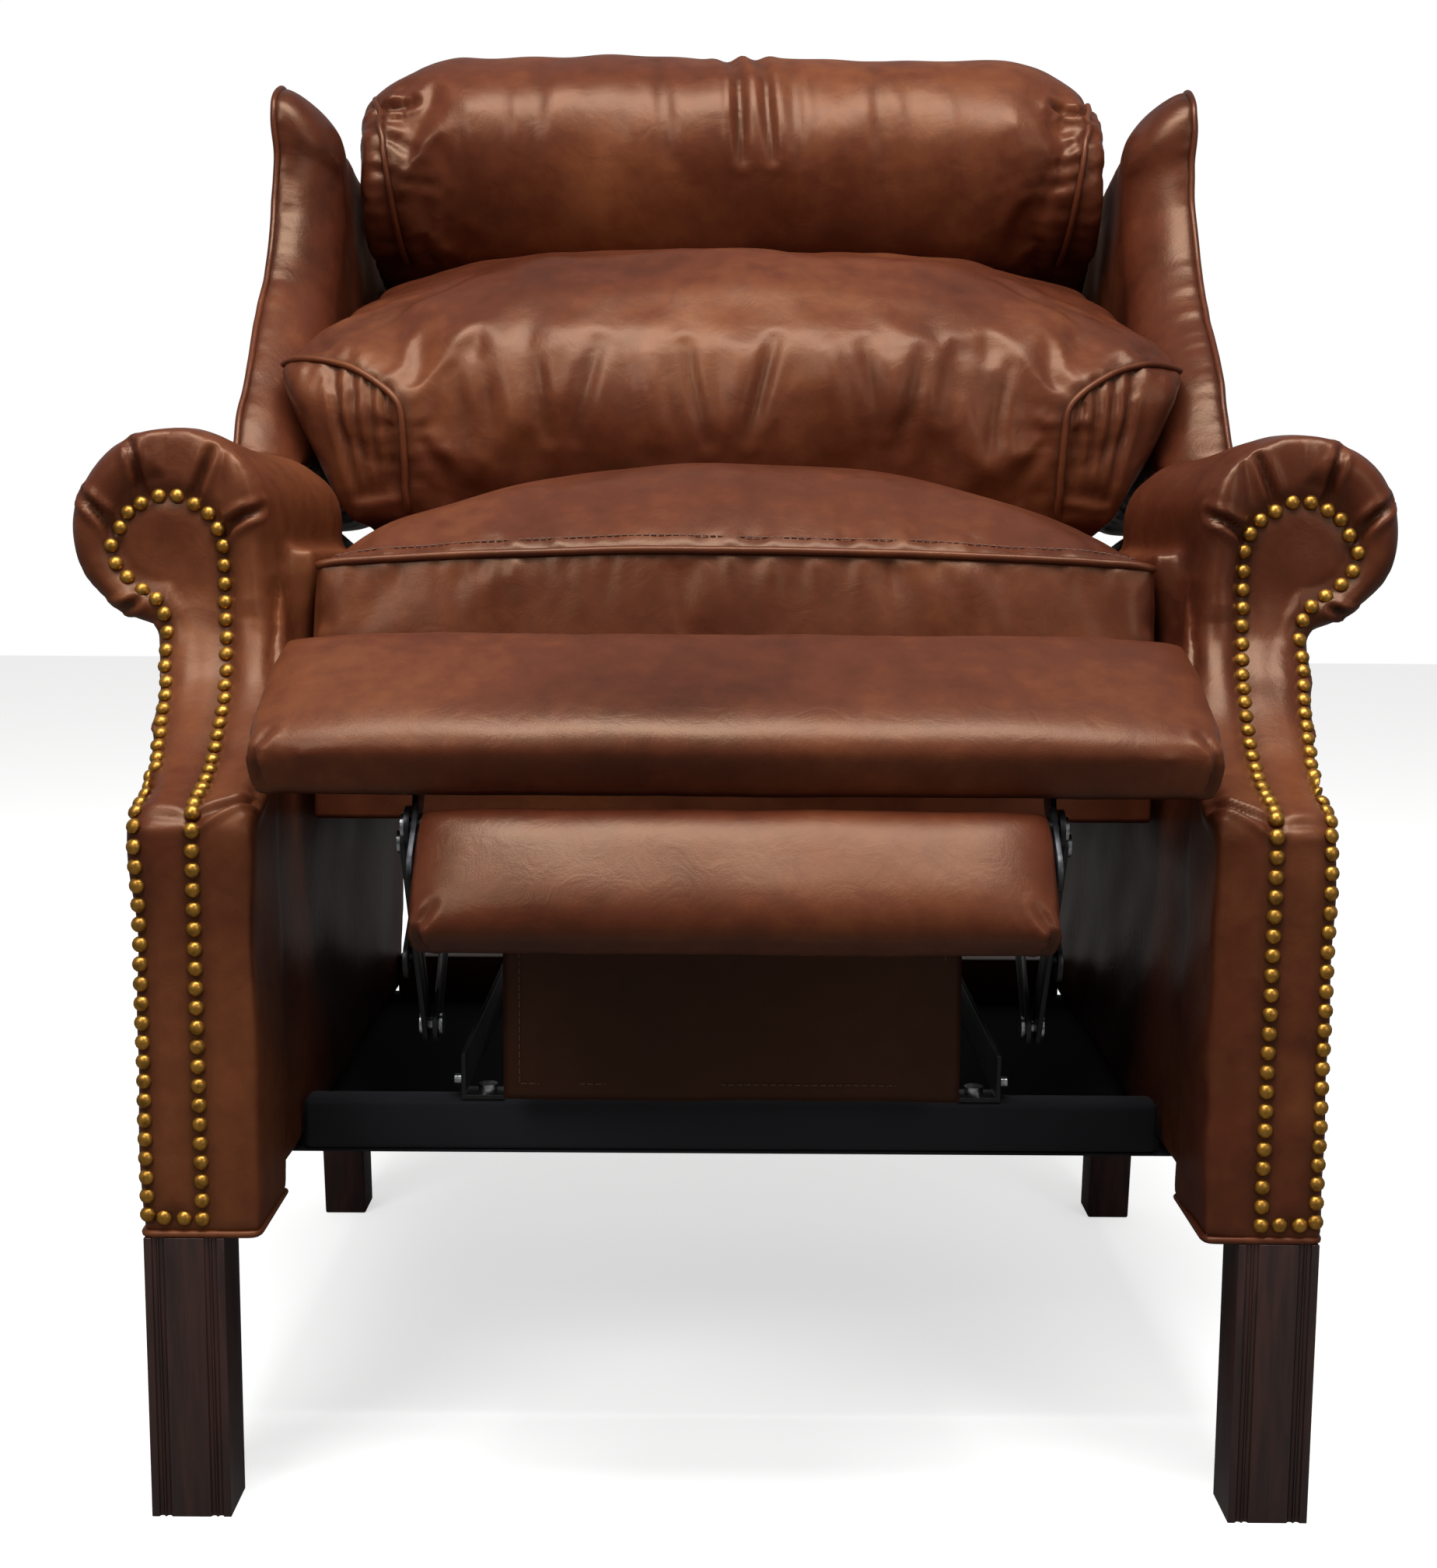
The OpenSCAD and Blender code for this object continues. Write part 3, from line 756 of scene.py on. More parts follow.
def crisp(name: str, nodes: Sequence[str], body: str, finish: Finish, width_mm: float,
          segments: int = 2) -> None:
    """Stands a copy of rigid nodes in for them, with their edges eased so that they catch the light.

    Args:
        name: the piece's name.
        nodes: the CAD nodes that it stands for.
        body: the body that it rides on.
        finish: what it is made of.
        width_mm: width of the eased edge.
        segments: facets across the edge.
    """
    bm = from_node(*nodes)
    bmesh.ops.dissolve_limit(bm, angle_limit=math.radians(FLAT_DEG), verts=bm.verts, edges=bm.edges)
    sharp = [e for e in bm.edges if len(e.link_faces) == 2 and e.calc_face_angle(0) > math.radians(SHARP_DEG)]
    bmesh.ops.bevel(bm, geom=sharp, offset=width_mm * MM, offset_type="OFFSET", segments=segments,
                    profile=0.5, affect="EDGES", clamp_overlap=True, material=-1)
    piece = shown(as_mesh(bm, name), name, body, finish)
    piece.data.set_sharp_from_angle(angle=math.radians(SHADE_DEG))
    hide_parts(*nodes)


def tube(name: str, paths: Sequence[np.ndarray], radius_mm: float, body: str,
         finish: Finish) -> bpy.types.Object:
    """A round cord laid along paths, such as the piping in a seam.

    Args:
        name: the piece's name.
        paths: points of each run, in metres.
        radius_mm: radius of the cord.
        body: the body that it rides on.
        finish: what it is made of.

    Returns:
        The piece.
    """
    curve = bpy.data.curves.new(name, "CURVE")
    curve.dimensions = "3D"
    curve.bevel_depth = radius_mm * MM
    curve.bevel_resolution = 3
    curve.use_fill_caps = True
    curve.materials.append(finish.material())
    for path in paths:
        spline = curve.splines.new("POLY")
        spline.points.add(len(path) - 1)
        spline.points.foreach_set("co", np.hstack([path, np.ones((len(path), 1))]).ravel())
    piece = bpy.data.objects.new(name, curve)
    bpy.context.scene.collection.objects.link(piece)
    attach(piece, body)
    LOG.info("%s: %d runs on %s", name, len(paths), body)
    return piece


def laid_on(mesh: bpy.types.Mesh, path: np.ndarray, lift_mm: float) -> np.ndarray:
    """Drops a path onto a surface.

    Args:
        mesh: the surface, in metres.
        path: points near it, in metres.
        lift_mm: height of the path above the surface.

    Returns:
        The path on the surface, eased.
    """
    bm = bmesh.new()
    bm.from_mesh(mesh)
    tree = BVHTree.FromBMesh(bm)
    bm.free()
    out = []
    for point in path:
        found, normal, _, _ = tree.find_nearest(Vector(point))
        out.append(found + normal * lift_mm * MM)
    return eased(np.array(out), 3)


def stitches(name: str, mesh: bpy.types.Mesh, paths: Sequence[np.ndarray], body: str,
             pitch_mm: float = 4.5) -> None:
    """A row of short thread stitches lying on a surface.

    Args:
        name: the piece's name.
        mesh: the surface, in metres.
        paths: the rows, in metres.
        body: the body that they ride on.
        pitch_mm: length of a stitch and its gap.
    """
    bm = bmesh.new()
    for path in paths:
        row = even(laid_on(mesh, path, 0.6), pitch_mm * MM)
        for a, b in zip(row, row[1:]):
            along = Vector(b - a)
            turn = along.to_track_quat("Z", "Y").to_matrix().to_4x4()
            place = Matrix.Translation(Vector(a + b) / 2) @ turn
            bmesh.ops.create_cone(bm, cap_ends=True, segments=6, radius1=0.45 * MM, radius2=0.45 * MM,
                                  depth=along.length * 0.72, matrix=place)
    shown(as_mesh(bm, name), name, body, THREAD)


@dataclass
class Skin:
    """A leather cover pulled over a form, from its rough solid to its creases.

    Attributes:
        name: the piece's name.
        body: the body that it rides on.
        place: matrix from the piece's millimetres to the row frame.
        nodes: the CAD nodes that it stands for.
        voxel: size of the form's even mesh, in millimetres.
        soften: smoothing passes over the form.
        stuffing: the simulated filling, or None for a cover glued or tacked to its form.
        seams: seam lines in the piece's millimetres, each a list of corners.
        creases: listed folds pressed in.
        gather: depth of the small gathers along the seams, in millimetres.
        gather_reach: how far the gathers reach from the seam, in millimetres.
        rumple: depth of the slow waves of loose leather, in millimetres.
        seed: seed of the gathers and waves.
        refine: whether the mesh is subdivided once at the end.
    """

    name: str
    body: str
    place: Matrix
    nodes: tuple[str, ...]
    voxel: float = 5.0
    soften: int = 6
    stuffing: Stuffing | None = None
    seams: list = field(default_factory=list)
    creases: list[Crease] = field(default_factory=list)
    gather: float = 0.0
    gather_reach: float = 22.0
    rumple: float = 0.4
    seed: int = 1
    refine: bool = True

    def form(self, bm: bmesh.types.BMesh, in_metres: bool = False) -> bpy.types.Mesh:
        """Turns a rough solid into an even, rounded mesh in metres.

        Args:
            bm: the solid, which is used up.
            in_metres: whether it is already in the row frame.

        Returns:
            The mesh.
        """
        if not in_metres:
            bmesh.ops.transform(bm, matrix=self.place, verts=bm.verts)
        mesh = applied(as_mesh(bm, self.name), "REMESH", mode="VOXEL", voxel_size=self.voxel * MM)
        return softened(mesh, self.soften)

    def seam_points(self) -> np.ndarray:
        """Every seam as evenly spaced points, in millimetres."""
        return np.vstack([even(s, SEAM_STEP) for s in self.seams])

    def fill(self, mesh: bpy.types.Mesh) -> bpy.types.Mesh:
        """Blows the cover up with its seams held.

        Args:
            mesh: the cover in metres.

        Returns:
            The same mesh, swollen where it has a filling.
        """
        if self.stuffing is None:
            return mesh
        local = through(self.place.inverted(), points_of(mesh))
        gap, _ = nearest(local, self.seam_points())
        return stuffed(mesh, np.nonzero(gap < self.voxel * 1.1)[0], self.stuffing)

    def crease(self, mesh: bpy.types.Mesh) -> bpy.types.Mesh:
        """Subdivides the cover, presses in gathers, waves and folds, and paints shade into the seams and the
        sunk folds.

        Args:
            mesh: the cover in metres.

        Returns:
            The finished mesh.
        """
        if self.refine:
            mesh = applied(mesh, "SUBSURF", levels=1, render_levels=1)
        world = points_of(mesh)
        local = through(self.place.inverted(), world)
        normal = normals_of(mesh)
        push = np.zeros(len(local))
        rng = np.random.default_rng(self.seed)
        for _ in range(14):
            way = rng.normal(size=3)
            way /= np.linalg.norm(way)
            length = rng.uniform(45, 150)
            push += self.rumple / 3.2 * np.sin(local @ way * 2 * np.pi / length + rng.uniform(0, 6.3))
        dark = np.zeros(len(local))
        if self.seams:
            samples = self.seam_points()
            gap, which = nearest(local, samples)
            along = which * SEAM_STEP
            wave = np.zeros(len(local))
            for _ in range(7):
                length = rng.uniform(11, 42)
                wave += np.sin(along * 2 * np.pi / length + rng.uniform(0, 6.3)
                               + gap * rng.uniform(-0.03, 0.03))
            reach = self.gather_reach * (0.75 + 0.35 * np.sin(along / 37.0 + self.seed))
            push += self.gather / 2.6 * wave * np.exp(-(gap / reach) ** 2) * (1 - np.exp(-(gap / 5.0) ** 2))
            # Painted shade along the seams.
            dark = np.exp(-(gap / 6.0) ** 2)
        bm = bmesh.new()
        bm.from_mesh(mesh)
        surface = BVHTree.FromBMesh(bm)
        bm.free()
        for fold in self.creases:
            moved = fold.push(local, surface, self.place)
            push += moved
            # Painted shade in the sunk folds, darker where they sink further.
            dark = np.maximum(dark, np.clip(-moved / 5.0, 0, 0.7))
        set_points(mesh, world + normal * push[:, None] * MM)
        layer = mesh.attributes.new("seam", "FLOAT", "POINT")
        layer.data.foreach_set("value", dark.astype(np.float32))
        return mesh

    def dress(self, mesh: bpy.types.Mesh) -> bpy.types.Object:
        """Shows the cover in the place of its nodes.

        Args:
            mesh: the finished cover in metres.

        Returns:
            The piece.
        """
        piece = shown(mesh, self.name, self.body, LEATHER)
        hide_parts(*self.nodes)
        return piece

    def piping(self, mesh: bpy.types.Mesh, radius: float = 2.6, lift: float = 0.9) -> None:
        """Lays a leather-covered cord along every seam."""
        paths = [laid_on(mesh, through(self.place, even(s, 4.0)), lift) for s in self.seams]
        tube(self.name + "_piping", paths, radius, self.body, LEATHER)


# ---- soft goods -----------------------------------------------------------


@dataclass
class SeatCushion:
    """The boxed seat cushion: foam with a down crown, piped round its top and bottom edges.

    Attributes:
        half: half width.
        front: front face of the boxing.
        rear: rear face.
        low: underside.
        edge: height of the top piping above the timbers.
        crown: rise of the top above its piping.
        bow: rise of the front piping at its middle.
        sink: how strongly the top sinks under the pillow.
        widest: half width that the swollen sides may reach between the arms.
    """

    half: float = 263.0
    front: float = -19.0
    rear: float = 416.0
    low: float = 8.5
    edge: float = 114.0
    crown: float = 77.0
    bow: float = 8.0
    sink: float = 42.0
    widest: float = 268.5

    def edge_at(self, x: float, y: float) -> float:
        """Height of the top piping: bowed at the front, sinking towards the pillow at the rear."""
        share = (y - self.front) / (self.rear - self.front)
        bowed = self.bow * (1 - (x / self.half) ** 2) * (1 - share) ** 2
        return self.edge + bowed - self.sink * max(0.0, share - 0.55) ** 1.2

    def form(self) -> bmesh.types.BMesh:
        """A cube raised to the cushion's crowned shape."""
        bm = bmesh.new()
        bmesh.ops.create_cube(bm, size=2.0)
        bmesh.ops.subdivide_edges(bm, edges=bm.edges, cuts=47, use_grid_fill=True)
        for v in bm.verts:
            a, b, c = v.co
            tuck = 1 - 0.018 * max(0.0, a * a + b * b - 1.0) ** 2
            y = self.front + (self.rear - self.front) * (b + 1) / 2
            x = self.half * a * tuck
            top = self.edge_at(x, y)
            share = (b + 1) / 2
            swell = math.sin(math.pi * min(1.0, share / 0.44) ** 0.6 * 0.5) ** 1.1
            lift = self.crown * (1 - a * a) ** 0.62 * swell
            lift *= 1 - 0.95 * max(0.0, (share - 0.36) / 0.64) ** 1.35
            rise = (c + 1) / 2
            v.co = (x, y, self.low + (top - self.low) * rise + (lift if c > 0.999 else 0.0))
        return bm

    def seams(self) -> list:
        """The top and bottom piping, open at the rear."""
        h, f, r = self.half - 1.0, self.front, self.rear
        stops = [i / 24 for i in range(25)]
        side = [(h, r + (f - r) * s, self.edge_at(h, r + (f - r) * s)) for s in stops]
        front = [(h - 2 * h * s, f, self.edge_at(h - 2 * h * s, f)) for s in stops[1:]]
        back = [(-x, y, z) for x, y, z in reversed(side)][1:]
        under = [(h, r, self.low), (h, f, self.low), (-h, f, self.low), (-h, r, self.low)]
        return [side + front + back, under]

    def build(self) -> None:
        """Makes the cushion, its piping and the row of stitches behind the front piping."""
        pulls = ((-190, 0), (-128, 12), (-52, 4), (22, 14), (96, 0), (150, 10), (206, 6))
        skin = Skin("seat_cushion_leather", "seat", PLACES.seat(), ("seat_cushion",), voxel=6.0, soften=3,
                    stuffing=Stuffing(pressure=3.0, slack=0.012, cap_mm=6.0), seams=self.seams(),
                    gather=0.8, gather_reach=26, rumple=0.9, seed=4,
                    creases=[Crease((x, -22, 20 + dz), (x + 14, -22, 84 + dz), -1.3, 9, 0.0)
                             for x, dz in pulls])
        mesh = skin.fill(skin.form(self.form()))
        inner = through(skin.place.inverted(), points_of(mesh))
        inner[:, 0] = np.clip(inner[:, 0], -self.widest, self.widest)
        set_points(mesh, through(skin.place, inner))
        mesh = skin.crease(mesh)
        skin.dress(mesh)
        skin.piping(mesh, 2.7)
        row = [(x, self.front + 9, self.edge_at(x, self.front) + 7) for x in np.linspace(-250, 250, 60)]
        stitches("seat_topstitch", mesh, [through(skin.place, np.array(row))], "seat")


@dataclass
class LumbarPillow:
    """The large lower back pillow, boxed at its sides, with ears that reach out in front of the wings.

    Attributes:
        corners: the body's corners in the back's millimetres, as on the right-hand side.
        panel: the front panel's upper corner, where its side seam starts.
        ear: the ear's tip.
    """

    corners: tuple[tuple[float, float, float], ...] = (
        (236, -40, 100), (240, -180, 104), (231, -282, 112), (200, -322, 190), (0, -322, 150), (0, -324, 200),
        (120, -323, 205), (0, -300, 256), (140, -300, 248), (0, -262, 300), (140, -262, 294), (0, -200, 328),
        (110, -200, 326), (0, -140, 348), (100, -140, 344), (0, -46, 352), (180, -46, 342), (206, -150, 338),
        (262, -50, 322), (275, -150, 320), (300, -200, 268), (300, -60, 240))
    panel: tuple[float, float, float] = (233.0, -316.0, 166.0)
    ear: tuple[float, float, float] = (325.0, -290.0, 207.0)

    def form(self) -> bmesh.types.BMesh:
        """The convex body and its ears as one solid."""
        lobes = [self.ear, (290, -304, 203), (253, -312, 185), (310, -305, 175), (297, -290, 137),
                 (272, -275, 94), (303, -268, 212), self.panel]
        return hull(list(self.corners) + lobes)

    def seams(self) -> list:
        """Piping from each ear's tip in to the front panel's corner and down its side."""
        right = [self.ear, (308, -299, 206), (290, -305, 203), (270, -309, 196), (253, -313, 185),
                 (240, -315, 174), self.panel, (232, -310, 150), (231, -286, 114), (233, -250, 103),
                 (236, -190, 101)]
        return [right, [(-a, b, c) for a, b, c in right]]

    def creases(self) -> list[Crease]:
        """Long soft folds on the front under the highlight, and gathers round the boxed sides."""
        y = self.panel[1] - 10
        rows = (
            (-196, 190, 10, 70, 2.0, 5.5), (-164, 206, 14, 78, -2.0, 8.0), (-138, 196, 8, 60, 2.2, 5.0),
            (-96, 212, -16, 74, 2.4, 6.0), (-62, 200, 12, 66, -2.2, 8.0), (-34, 210, 14, 80, 2.6, 5.0),
            (6, 204, -10, 62, -1.8, 8.0), (28, 214, -18, 78, 2.8, 5.0), (66, 200, 10, 70, -2.0, 8.0),
            (92, 210, 12, 64, 2.0, 5.5), (132, 204, -14, 76, 2.4, 6.0), (164, 198, 6, 70, -2.0, 8.0),
            (192, 196, -12, 66, 2.0, 5.0))
        folds = [Crease((x, y, z), (x + lean, y, z - length), depth, width, 0.5)
                 for x, z, lean, length, depth, width in rows]
        sides = [Crease((s * (282 - 13 * k), -304 - 2 * k, 196 - 6 * k),
                        (s * (264 - 8 * k), -286 - 3 * k, 108), 3.2, 3.6, 0.6)
                 for s in (-1, 1) for k in range(4)]
        tops = [Crease((s * (304 - 16 * k), -292, 212 + 4 * k),
                       (s * (226 - 20 * k), -250, 268 + 12 * k), 1.8, 6.0, 0.5)
                for s in (-1, 1) for k in range(3)]
        return folds + sides + tops

    def build(self) -> None:
        """Makes the pillow and its piping."""
        skin = Skin("lumbar_pillow_leather", "back", PLACES.back(), ("lumbar_pillow",), voxel=6.0, soften=9,
                    stuffing=Stuffing(pressure=3.0, slack=0.02, cap_mm=6.0), seams=self.seams(),
                    creases=self.creases(), gather=0.7, gather_reach=24, rumple=1.6, seed=11)
        mesh = skin.fill(skin.form(self.form()))
        mesh = skin.crease(mesh)
        skin.dress(mesh)
        skin.piping(mesh, 2.6)


@dataclass
class HeadPillow:
    """The bolster at the top of the back: a rolled cover with piped ends, pinched at its middle.

    Attributes:
        half: half width.
        centre: middle of its section (Y, Z) in the back's millimetres.
        radius: radius of the section.
        rear: its flat rear face.
        low: its underside.
        reach: half width that the swollen ends may reach between the wings.
    """

    half: float = 292.0
    centre: Point = (-108.0, 447.0)
    radius: float = 83.0
    rear: float = -33.0
    low: float = 362.0
    reach: float = 304.0

    def taper(self, x: float) -> float:
        """How much of the section is left at x: full in the middle, rounded off towards the ends."""
        return 1 - 0.24 * max(0.0, (abs(x) - 215) / (self.half - 215)) ** 1.8

    def form(self) -> bmesh.types.BMesh:
        """The section pulled across, flat against the back, tapered at its ends."""
        cz = self.centre[1]
        ring = arc(self.centre, self.radius, 38, 262, 30) + [(self.rear, self.low + 4), (self.rear, cz + 52)]
        bm = slab(ring, -self.half, self.half, ENDWISE)
        for i in range(1, 24):
            x = -self.half + 2 * self.half * i / 24
            bmesh.ops.bisect_plane(bm, geom=bm.verts[:] + bm.edges[:] + bm.faces[:], plane_co=(x, 0, 0),
                                   plane_no=(1, 0, 0))
        for v in bm.verts:
            left = self.taper(v.co.x)
            v.co.z = self.low + (v.co.z - self.low) * left
            v.co.y = self.rear + (v.co.y - self.rear) * (0.35 * left + 0.65)
        return bm

    def seams(self) -> list:
        """The piping round each end."""
        left = self.taper(self.half)
        ring = [(self.rear + (y - self.rear) * (0.35 * left + 0.65), self.low + (z - self.low) * left)
                for y, z in arc(self.centre, self.radius, 50, 262, 24)]
        slant = 26.0 / len(ring)
        return [[(s * (self.half - 3 - slant * i), y, z) for i, (y, z) in enumerate(ring)] for s in (1, -1)]

    def creases(self) -> list[Crease]:
        """The pinch near the middle, the pucker at each end and the soft pulls between."""
        front, cz = self.centre[0] - self.radius, self.centre[1]
        pinch = [Crease((x, front + 26, cz + 60), (x + lean, front - 2, cz - 34), depth, width, 0.6)
                 for x, lean, depth, width in ((2, 4, 3.4, 4.5), (22, 8, 3.0, 4.0), (44, 8, 1.6, 5.0),
                                               (-60, 10, 1.5, 6.0), (-150, -8, 1.2, 7.0), (110, 6, 1.3, 6.0))]
        over = [Crease((x, front + 60, cz + 86), (x + 3, front + 12, cz + 46), 2.4, 6.0, 0.5)
                for x in (-6, 16)]
        ends = [Crease((s * 282, front + 14, cz + 16), (s * 256, front + 4, cz + 20), 5.0, 4.0, 0.7)
                for s in (-1, 1)]
        pulls = [Crease((s * 280, front + 16, cz - 8 - 14 * k),
                        (s * (246 - 6 * k), front + 4, cz - 28 - 15 * k), 1.6, 4.5, 0.6)
                 for s in (-1, 1) for k in range(3)]
        soft = [Crease((x, front, cz + 22), (x + 8, front + 2, cz - 36), -1.3, 7.0, 0.0)
                for x in (-210, -172, -118, -84, 76, 128, 166, 214)]
        return pinch + over + ends + pulls + soft

    def build(self) -> None:
        """Makes the bolster and its piping."""
        skin = Skin("head_pillow_leather", "back", PLACES.back(), ("head_pillow",), voxel=5.5, soften=4,
                    stuffing=Stuffing(pressure=3.0, slack=0.02, cap_mm=6.0), seams=self.seams(),
                    creases=self.creases(), gather=0.9, gather_reach=28, rumple=1.3, seed=23)
        mesh = skin.fill(skin.form(self.form()))
        inner = through(skin.place.inverted(), points_of(mesh))
        between = np.clip((440 - inner[:, 2]) / 40, 0, 1)
        limit = self.reach - 3 * between
        inner[:, 0] = np.clip(inner[:, 0], -limit, limit)
        set_points(mesh, through(skin.place, inner))
        mesh = skin.crease(mesh)
        skin.dress(mesh)
        skin.piping(mesh, 2.6, lift=1.5)


@dataclass
class FootrestPad:
    """A foam pad wrapped in leather that is folded at its corners and tacked under its board.

    Attributes:
        node: the CAD pad that it stands for.
        body: the body that it rides on.
        pitch: its slope in degrees.
        half: half width.
        depth: front to rear.
        low: underside, where the leather is tacked to the board.
        crown: rise of the middle.
        shift: how far the pad reaches past its centre towards the rear.
        high: height of the face's edges.
    """

    node: str
    body: str
    pitch: float
    half: float
    depth: float
    low: float = -21.0
    crown: float = 13.0
    shift: float = 0.0
    high: float = 10.0

    def form(self) -> bmesh.types.BMesh:
        """A block, crowned on its face and pulled in a little at its corners."""
        bm = bmesh.new()
        bmesh.ops.create_cube(bm, size=2.0)
        bmesh.ops.subdivide_edges(bm, edges=bm.edges, cuts=31, use_grid_fill=True)
        for v in bm.verts:
            a, b, c = v.co
            rise = (1 - a ** 8) ** 0.7 * (1 - b ** 4) ** 0.8 * self.crown if c > 0.999 else 0.0
            round_in = 1 - 0.012 * max(0.0, abs(b) - 0.5) * 2 * abs(a) ** 8
            y = self.shift + (self.depth / 2 - 1.5) * b * (1 - 0.03 * abs(a) ** 10)
            z = self.low + (self.high - self.low) * (c + 1) / 2 + rise
            v.co = ((self.half - 1.5) * a * round_in, y, z)
        return bm

    def build(self) -> None:
        """Makes the pad and its corner folds."""
        h, t, low = self.half - 2, self.high, self.low
        front, rear = self.shift + 2 - self.depth / 2, self.shift - 2 + self.depth / 2
        seams = [[(s * h, y, t - 2), (s * h, y, low)] for s in (-1, 1) for y in (front, rear)]
        under = [[(-h, y, low), (h, y, low)] for y in (front, rear)]
        under += [[(x, front, low), (x, rear, low)] for x in (-h, h)]
        tucks = [Crease((s * (h - 3), front - 1, t - 1), (s * (h - 9), front - 2, low + 5), 2.6, 2.4, 0.8)
                 for s in (-1, 1)]
        mitres = [Crease((s * (h - 2), front, t), (s * (h - 15), front + 16, t + 2), 1.6, 3.0, 0.6)
                  for s in (-1, 1)]
        skin = Skin(self.node + "_leather", self.body, PLACES.pad(self.node, self.pitch), (self.node,),
                    voxel=4.5, soften=6, seams=seams + under, creases=tucks + mitres, gather=0.1,
                    gather_reach=16, rumple=0.25, seed=31)
        mesh = skin.crease(skin.form(self.form()))
        skin.dress(mesh)


@dataclass
class Wing:
    """A padded wing: a plywood panel upholstered inside, piped round its flat outer face.

    Attributes:
        side: which wing.
        outline: its front edge (Y, Z) in the back's millimetres, from the arm up.
        ear: centre of the rounded ear at its top.
        ear_r: the ear's radius.
        rear: its top edge, from the ear back.
        outer_x: X of the piping round its outer face.
        slope: how far the ear's inner edge drops below its outer edge.
        rear_rise: how far the rear of its top edge stands above the panel.
        round_back: how far its front edge is rounded back on the inside.
    """

    side: Side
    outline: tuple[Point, ...] = ((-306, 130), (-277, 205), (-244, 265), (-222, 320), (-216, 366),
                                  (-221, 398))
    ear: Point = (-196.0, 430.0)
    ear_r: float = 36.0
    rear: tuple[Point, ...] = ((-170, 455), (-131, 424), (-60, 402), (38, 392))
    outer_x: float = 351.5
    slope: float = 34.0
    rear_rise: float = 34.0
    round_back: float = 30.0

    def build(self) -> None:
        """Makes the wing's padded skin and the piping of its outer edge."""
        place = PLACES.back() @ self.side.turn()
        node = "wing_" + self.side.word
        edge = list(self.outline) + arc(self.ear, self.ear_r, 175, 50, 8) + list(self.rear)
        seam = [(self.outer_x, y, z) for y, z in edge]
        skin = Skin(node + "_leather", "back", place, (node,), voxel=5.0, soften=14, seams=[seam],
                    rumple=0.9, gather=0.5, gather_reach=20, seed=41 + self.side.value)
        mesh = skin.form(from_node(node), in_metres=True)
        local = through(place.inverted(), points_of(mesh))
        flat = np.clip((local[:, 0] - 322) / 20, 0, 1)
        local[:, 0] += flat * (self.outer_x + 1.0 - local[:, 0]) * 0.75
        inward = np.clip((self.outer_x - local[:, 0]) / 48, 0, 1)
        y, z = local.T[1:].copy()
        rise = np.clip((z - 372) / 90, 0, 1)
        ear = np.clip((-y - 130) / 50, 0, 1)
        local[:, 2] -= self.slope * inward ** 1.6 * rise * rise * (3 - 2 * rise) * ear
        rear = np.clip((y + 165) / 90, 0, 1) * np.clip((z - 330) / 60, 0, 1)
        local[:, 2] += self.rear_rise * rear
        edge = np.interp(z, [c[1] for c in self.outline], [c[0] for c in self.outline])
        local[:, 1] += self.round_back * inward ** 2.2 * np.clip(1 - (y - edge) / 70, 0, 1)
        set_points(mesh, through(place, local))
        mesh = skin.crease(mesh)
        skin.dress(mesh)
        skin.piping(mesh, 2.5, lift=1.2)


